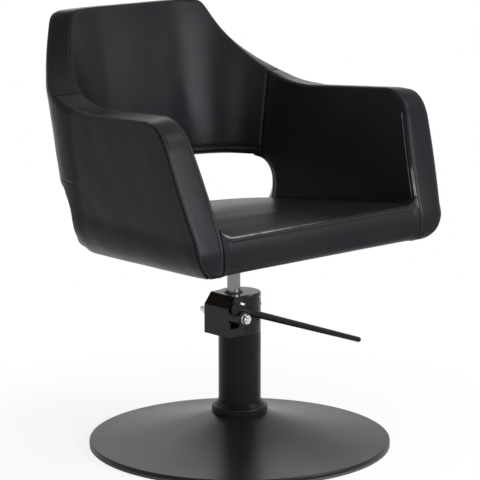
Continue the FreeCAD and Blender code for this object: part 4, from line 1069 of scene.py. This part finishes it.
def seat_cover(t):
    """Seat cushion: crowned top that rises a little into the arms at the front, front band and sides."""
    outline = front_profile(t)
    reach = seat_line(t) - SEAT_CLEAR
    rear_y = t.corner_y + reach
    front_y = float(profile_y(outline, t.seat_height))
    rows_y = spaced(front_y, rear_y)
    fractions = spaced(0.0, 0.4) / 0.2 - 1
    tangent_x = t.corner_x + reach * math.cos(t.splay)
    tangent_y = t.corner_y + reach * math.sin(t.splay)

    def half_width(y):
        straight = tangent_x + (tangent_y - y) * math.tan(t.splay)
        bend = t.corner_x + np.sqrt(np.clip(reach ** 2 - (y - t.corner_y) ** 2, 0, None))
        return np.where(y <= tangent_y, straight, bend)

    def row(x, y, height):
        return np.stack(np.broadcast_arrays(x + t.middle_x, y, height), -1)

    def top_height(x, y, width):
        """Height of the top, and how much of it is the rise into the arms."""
        centre = 1 - (x / width) ** 2
        depth = np.clip((y - front_y) / (rear_y - front_y), 0, 1)
        lengthwise = np.clip(4 * depth * (1 - depth), 0, 1) ** 0.6
        crown = t.seat_crown * CROWN_TIMES * np.sqrt(np.clip(centre, 0, 1)) * lengthwise
        inside = np.clip(ARM_RISE_RADIUS - (width - np.abs(x)), 0, ARM_RISE_RADIUS * 0.93)
        rise = ARM_RISE_RADIUS - np.sqrt(ARM_RISE_RADIUS ** 2 - inside ** 2)
        rise = rise * np.clip(1 - (y - front_y) / ARM_RISE_RUN, 0, 1) ** 2
        sink = t.rear_sink * np.clip(2 * depth - 1, 0, 1) ** 1.5
        return seat_side(t, y) + crown - sink + rise, rise

    top = []
    for y, width in zip(rows_y, half_width(rows_y)):
        x = fractions * width
        height, rise = top_height(x, np.full_like(x, y), width)
        top.append(row(x + np.sign(x) * rise * (t.wall_lean + t.wall_thin), y, height))
    top = np.stack(top)
    foot_last = int(np.argmax(outline[:, 1] > t.seat_height))
    levels = np.unique(np.concatenate([t.seat_height - np.array(NEAR_WIDE), outline[:foot_last, 1],
                                       np.linspace(outline[0, 1], t.seat_height, 16)]))[::-1]
    levels = levels[levels >= outline[0, 1] - 1e-9]
    front = []
    for level in levels:
        y = float(profile_y(outline, level))
        line = row(fractions * float(half_width(np.array(y))), y, level)
        line[:, 2] += (top[0, :, 2] - t.seat_height) * np.clip(1 - (t.seat_height - level) / BAND_EASE, 0, 1)
        line[:, 1] += (profile_y(outline, line[:, 2]) - y)
        front.append(line)
    front = np.stack(front)
    top[0] = front[0]
    bottom = np.stack([row(fractions * float(half_width(np.array(y))), y, underside(t, y))
                       for y in spaced(outline[0, 0], rear_y)])
    front[-1] = bottom[0]
    crease, hem = (np.concatenate([grid[:, 0], grid[-1, 1:-1], grid[::-1, -1]]) for grid in (top, bottom))
    down = (front[0, 0, 2] - front[:, 0, 2]) / (front[0, 0, 2] - front[-1, 0, 2])
    sides = crease[None] + (hem - crease)[None] * down[:, None, None]
    sides[:, 0] = front[:, 0]
    sides[:, -1] = front[:, -1]
    cover = Cover()
    cover.add(top)
    cover.add(front, band=True)
    cover.add(bottom)
    cover.add(sides)
    cover.wave_scale = (5.0, 24.0, 14.0)
    cover.seams = [top[0], crease, front[:, 0], front[:, -1]]
    # Front edge painted pale for worn leather and a painted highlight, fading towards one side
    cover.worn = [top[0]]
    cover.worn_from = t.middle_x - WEAR_HIGHLIGHT_SIDE
    cover.worn_over = WEAR_HIGHLIGHT_RUN
    stitched = int(np.argmin(np.abs(levels - (t.seat_height - SEAT_STITCH))))
    cover.top_stitches = [front[stitched, 4:-4]]
    return cover


RAIL_COLUMNS = 40
RAIL_LIP = 0.008  # radius of the rail's rolled edge
RAIL_INSIDE = 0.014  # how far the rail's ends are drawn in, inside the arms


def rail_cover(t):
    """Rail under the window: falls to the rear, turns over a rolled edge and rounds under the tub."""
    end = corner_path(t, t.rail_turn)
    joint = corner_path(t, t.foot_turn)
    paths = wall_paths(end, RAIL_COLUMNS)
    line = seat_line(t)
    inner_y = wall_y(t, paths, line)
    high = np.minimum(seat_side(t, inner_y), t.rail_high) - t.rear_sink
    foot = foot_height(t, inner_y) * t.rail_share
    inside_arm = np.clip((np.abs(paths) - joint) / (end - joint), 0, 1)
    knee_radius = wall_outer(t, underside(t, wall_y(t, paths, t.wall_radius)) + foot)
    outer = knee_radius - t.rail_tuck - RAIL_INSIDE * inside_arm
    round_inner = outer - foot
    low_outer = underside(t, wall_y(t, paths, round_inner))
    outer_high = np.minimum(seat_side(t, wall_y(t, paths, outer)), t.rail_high) - t.rail_sink
    rows = []
    for step in (0, 0.04, 0.09, 0.16, 0.3, 0.45, 0.6, 0.75, 0.9, 1.0):
        rows.append((line + (outer - RAIL_LIP - line) * step, high + (outer_high - high) * step))
    for turn in np.linspace(0, math.pi / 2, 6)[1:]:
        rows.append((outer - RAIL_LIP + RAIL_LIP * math.sin(turn),
                     outer_high - RAIL_LIP + RAIL_LIP * math.cos(turn)))
    drop = outer_high - RAIL_LIP - low_outer
    for turn in np.linspace(0, math.pi / 2, 9)[1:]:
        rows.append((outer - foot * (1 - math.cos(turn)), outer_high - RAIL_LIP - drop * math.sin(turn)))
    inner_low = underside(t, inner_y)
    for step in (0.33, 0.66, 1.0):
        rows.append((round_inner + (line - round_inner) * step, low_outer + (inner_low - low_outer) * step))
    rows += [(line, (inner_low + high) / 2), (line, high)]
    ring = np.stack([spot(t, paths, radius, height) for radius, height in rows])
    ring[-1] = ring[0]
    cover = Cover()
    cover.add(ring)
    cover.seams = [ring[0], ring[:, 0], ring[:, -1]]
    return cover


class CHAIR_OT_arms(bpy.types.Operator):
    """Make both upholstered arms and their seams"""
    bl_idname = "chair.arms"
    bl_label = "Arms"

    def execute(self, context):
        for name, node, side in (("left_arm_cover", "left_arm", 1), ("right_arm_cover", "right_arm", -1)):
            dressed_cover(name, node, arm_cover(sizes(), side), looks())
        return {"FINISHED"}


class CHAIR_OT_back(bpy.types.Operator):
    """Make the wrap-round back above the window"""
    bl_idname = "chair.back"
    bl_label = "Back"

    def execute(self, context):
        dressed_cover("back_cover", "back_pad", back_cover(sizes()), looks())
        return {"FINISHED"}


class CHAIR_OT_seat(bpy.types.Operator):
    """Make the seat cushion and the rail behind it"""
    bl_idname = "chair.seat"
    bl_label = "Seat"

    def execute(self, context):
        dressed_cover("seat_cover", "seat_cushion", seat_cover(sizes()), looks())
        dressed_cover("rail_cover", "rear_rail", rail_cover(sizes()), looks())
        return {"FINISHED"}


# Material: its colour, how much lighter its patches are, its look and the frame's nodes that have it
FINISHES = {
    "Powder coat": ("powder", 1.5, dict(
        patch=(9.0, 0.4), rough=(0.32, 0.12), grain=(1400.0, 0.3), relief=(0.25, 0.00025), gloss=0.13),
        ("base_cover",)),
    "Gloss enamel": ("enamel", 1.5, dict(
        patch=(30.0, 0.4), rough=(0.2, 0.1), grain=(260.0, 0.2), relief=(0.12, 0.0004),
        coat=0.12, coat_rough=0.06, gloss=0.15), ("pump_head", "pedal_hub", "oil_plug")),
    "Satin enamel": ("enamel", 1.8, dict(
        patch=(14.0, 0.4), rough=(0.33, 0.12), grain=(900.0, 0.3), relief=(0.15, 0.0002), gloss=0.1),
        ("column_tube", "base_collar", "pedal_rod", "swivel_socket", "mount_plate")),
    "Ground chrome": ("ram", 1.2, dict(
        patch=(40.0, 0.5), rough=(0.2, 0.1), grain=(1800.0, 0.1), relief=(0.05, 0.0001), metallic=1.0),
        ("ram",)),
    "Chrome": ("chrome", 0.85, dict(
        patch=(40.0, 0.5), rough=(0.12, 0.1), grain=(1800.0, 0.1), relief=(0.05, 0.0001), metallic=1.0),
        ("pedal_shaft", "shaft_washers", "shaft_nuts", "head_screws", "clamp_screw")),
    "Zinc": ("zinc", 0.75, dict(
        patch=(60.0, 0.6), rough=(0.34, 0.2), grain=(900.0, 0.4), relief=(0.15, 0.0002), metallic=1.0),
        ("foot_bolts", "mount_bolts", "tee_nuts", "plunger_spring", "frame_screws")),
    "Bare steel": ("steel", 0.7, dict(
        patch=(25.0, 0.6), rough=(0.36, 0.25), grain=(700.0, 0.3), relief=(0.15, 0.0002), metallic=1.0),
        ("floor_plate", "pressure_cylinder", "pump_cam", "pump_plunger", "piston")),
    "Bronze": ("bronze", 0.7, dict(
        patch=(50.0, 0.5), rough=(0.32, 0.15), grain=(900.0, 0.4), relief=(0.15, 0.0002), metallic=1.0),
        ("ram_guide", "shaft_bushes", "thrust_ring")),
    "Rubber": ("rubber", 1.6, dict(
        patch=(30.0, 0.5), rough=(0.75, 0.15), grain=(1500.0, 0.6), relief=(0.3, 0.0002)),
        ("floor_ring", "ram_wiper", "piston_seal")),
    "Plywood": ("plywood", 0.7, dict(
        patch=(18.0, 0.8), rough=(0.62, 0.15), grain=(240.0, 0.1), relief=(0.3, 0.0004)),
        ("seat_board", "left_arm_board", "right_arm_board", "back_board")),
}


class CHAIR_OT_hardware(bpy.types.Operator):
    """Give the base, column, pump and fittings their finishes"""
    bl_idname = "chair.hardware"
    bl_label = "Hardware finishes"

    def execute(self, context):
        for name, (kind, times, look, nodes) in FINISHES.items():
            main = getattr(context.scene.chair_metal, kind)
            material = finish_material(name, main, lighter(main, times), **look)
            for slot in (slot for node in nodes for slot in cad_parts[node].material_slots):
                slot.material = material
        return {"FINISHED"}


# Each lamp's place, what it faces, and its width and height
LAMPS = {
    "front": ((0.8, -2.95, 1.35), (0, 0, 0.62), (2.2, 1.0)),
    "key": ((1.7, -1.9, 2.9), (0, 0, 0.55), (1.2, 1.0)),
    "side": ((-2.3, -2.0, 1.35), (0, 0, 0.6), (1.0, 1.0)),
    "top": ((0.2, -0.3, 2.9), (0, 0, 0.4), (1.8, 1.8)),
    "rear": ((1.7, 2.3, 1.9), (0, 0, 0.5), (1.8, 1.2)),
}
FLOOR_HALF = 16.0
SENSOR_WIDTH = 36.0  # millimetres
SHIFT_X = 0.0007  # sideways shift of the picture, in its widths


def area_light(name, energy):
    stand, aim, size = LAMPS[name]
    light = bpy.data.lights.new(name, "AREA")
    light.shape = "RECTANGLE"
    light.size, light.size_y = size
    light.energy = energy
    lamp = new_object(name, light)
    lamp.location = stand
    lamp.rotation_euler = (Vector(aim) - Vector(stand)).to_track_quat("-Z", "Y").to_euler()


def seen_directly(tree):
    """One for rays from the camera, or by way of metal or glass, and nothing for light on the object."""
    rays = tree.nodes.new("ShaderNodeLightPath").outputs
    last = rays["Is Camera Ray"]
    for kind in ("Is Glossy Ray", "Is Transmission Ray"):
        last = calculated(tree, "MAXIMUM", last, rays[kind])
    return last


def floor_material(tint):
    """Pale floor that turns white away from the object."""
    material, tree, shader = new_material("Floor")
    feed(tree, shader, {"Base Color": (*tint, 1), "Roughness": 0.9, "Specular IOR Level": 0.0})
    glow = add_node(tree, "ShaderNodeEmission", {"Strength": 1.0})
    reach = add_node(tree, "ShaderNodeVectorMath", {0: object_place(tree)}, operation="LENGTH")
    white = ramped(tree, reach.outputs["Value"], 0.3, 0.8, 0.84, kind="SMOOTHSTEP")
    mix = add_node(tree, "ShaderNodeMixShader", {
        "Fac": calculated(tree, "MULTIPLY", seen_directly(tree), white),
        1: shader.outputs["BSDF"], 2: glow.outputs["Emission"]})
    feed(tree, tree.nodes["Material Output"], {"Surface": mix.outputs["Shader"]})
    return material


class CHAIR_OT_stage(bpy.types.Operator):
    """Set up the pale floor, the soft lights and the camera"""
    bl_idname = "chair.stage"
    bl_label = "Stage"

    def execute(self, context):
        scene = context.scene
        stage = scene.chair_stage
        corners = [(-FLOOR_HALF, -FLOOR_HALF, 0), (FLOOR_HALF, -FLOOR_HALF, 0), (FLOOR_HALF, FLOOR_HALF, 0),
                   (-FLOOR_HALF, FLOOR_HALF, 0)]
        floor = new_object("floor", new_mesh("floor", corners, [(0, 1, 2, 3)]))
        floor.data.materials.append(floor_material(stage.floor))

        world = bpy.data.worlds.new("Studio")
        world.use_nodes = True
        scene.world = world
        tree = world.node_tree
        feed(tree, tree.nodes["Background"], {
            "Color": (1, 1, 1, 1), "Strength": ramped(tree, seen_directly(tree), 0.0, 1.0, 0.3)})

        for name in LAMPS:
            area_light(name, getattr(stage, name))

        lens = bpy.data.cameras.new("camera")
        lens.lens = stage.camera_lens
        lens.sensor_width = SENSOR_WIDTH
        lens.shift_x = SHIFT_X
        camera = new_object("camera", lens)
        camera.location = stage.camera_place
        camera.rotation_euler = (math.pi / 2 - stage.camera_dip, 0, stage.camera_turn)
        scene.camera = camera
        scene.view_settings.view_transform = "Standard"
        return {"FINISHED"}


class CHAIR_PT_panel(bpy.types.Panel):
    """Buttons and values of the chair"""
    bl_idname = "CHAIR_PT_panel"
    bl_label = "Chair"
    bl_space_type = "VIEW_3D"
    bl_region_type = "UI"
    bl_category = "Chair"

    def draw(self, context):
        for operator in OPERATORS:
            self.layout.operator(operator.bl_idname)
        for group in GROUPS:
            values = getattr(context.scene, group)
            box = self.layout.box()
            for name in value_names(values):
                box.prop(values, name)


OPERATORS = (CHAIR_OT_arms, CHAIR_OT_back, CHAIR_OT_seat, CHAIR_OT_hardware, CHAIR_OT_stage)
GROUPS = {"chair_tub": ChairTub, "chair_leather": ChairLeather, "chair_metal": ChairMetal,
          "chair_stage": ChairStage}


def register():
    for item in (*GROUPS.values(), *OPERATORS, CHAIR_PT_panel):
        bpy.utils.register_class(item)
    for name, group in GROUPS.items():
        setattr(bpy.types.Scene, name, PointerProperty(type=group))


def unregister():
    for name in GROUPS:
        delattr(bpy.types.Scene, name)
    for item in (CHAIR_PT_panel, *reversed(OPERATORS), *reversed(list(GROUPS.values()))):
        bpy.utils.unregister_class(item)


def main():
    register()
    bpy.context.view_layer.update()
    bpy.ops.chair.stage()
    bpy.ops.chair.arms()
    bpy.ops.chair.back()
    bpy.ops.chair.seat()
    bpy.ops.chair.hardware()
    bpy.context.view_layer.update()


if __name__ == "__main__":
    main()
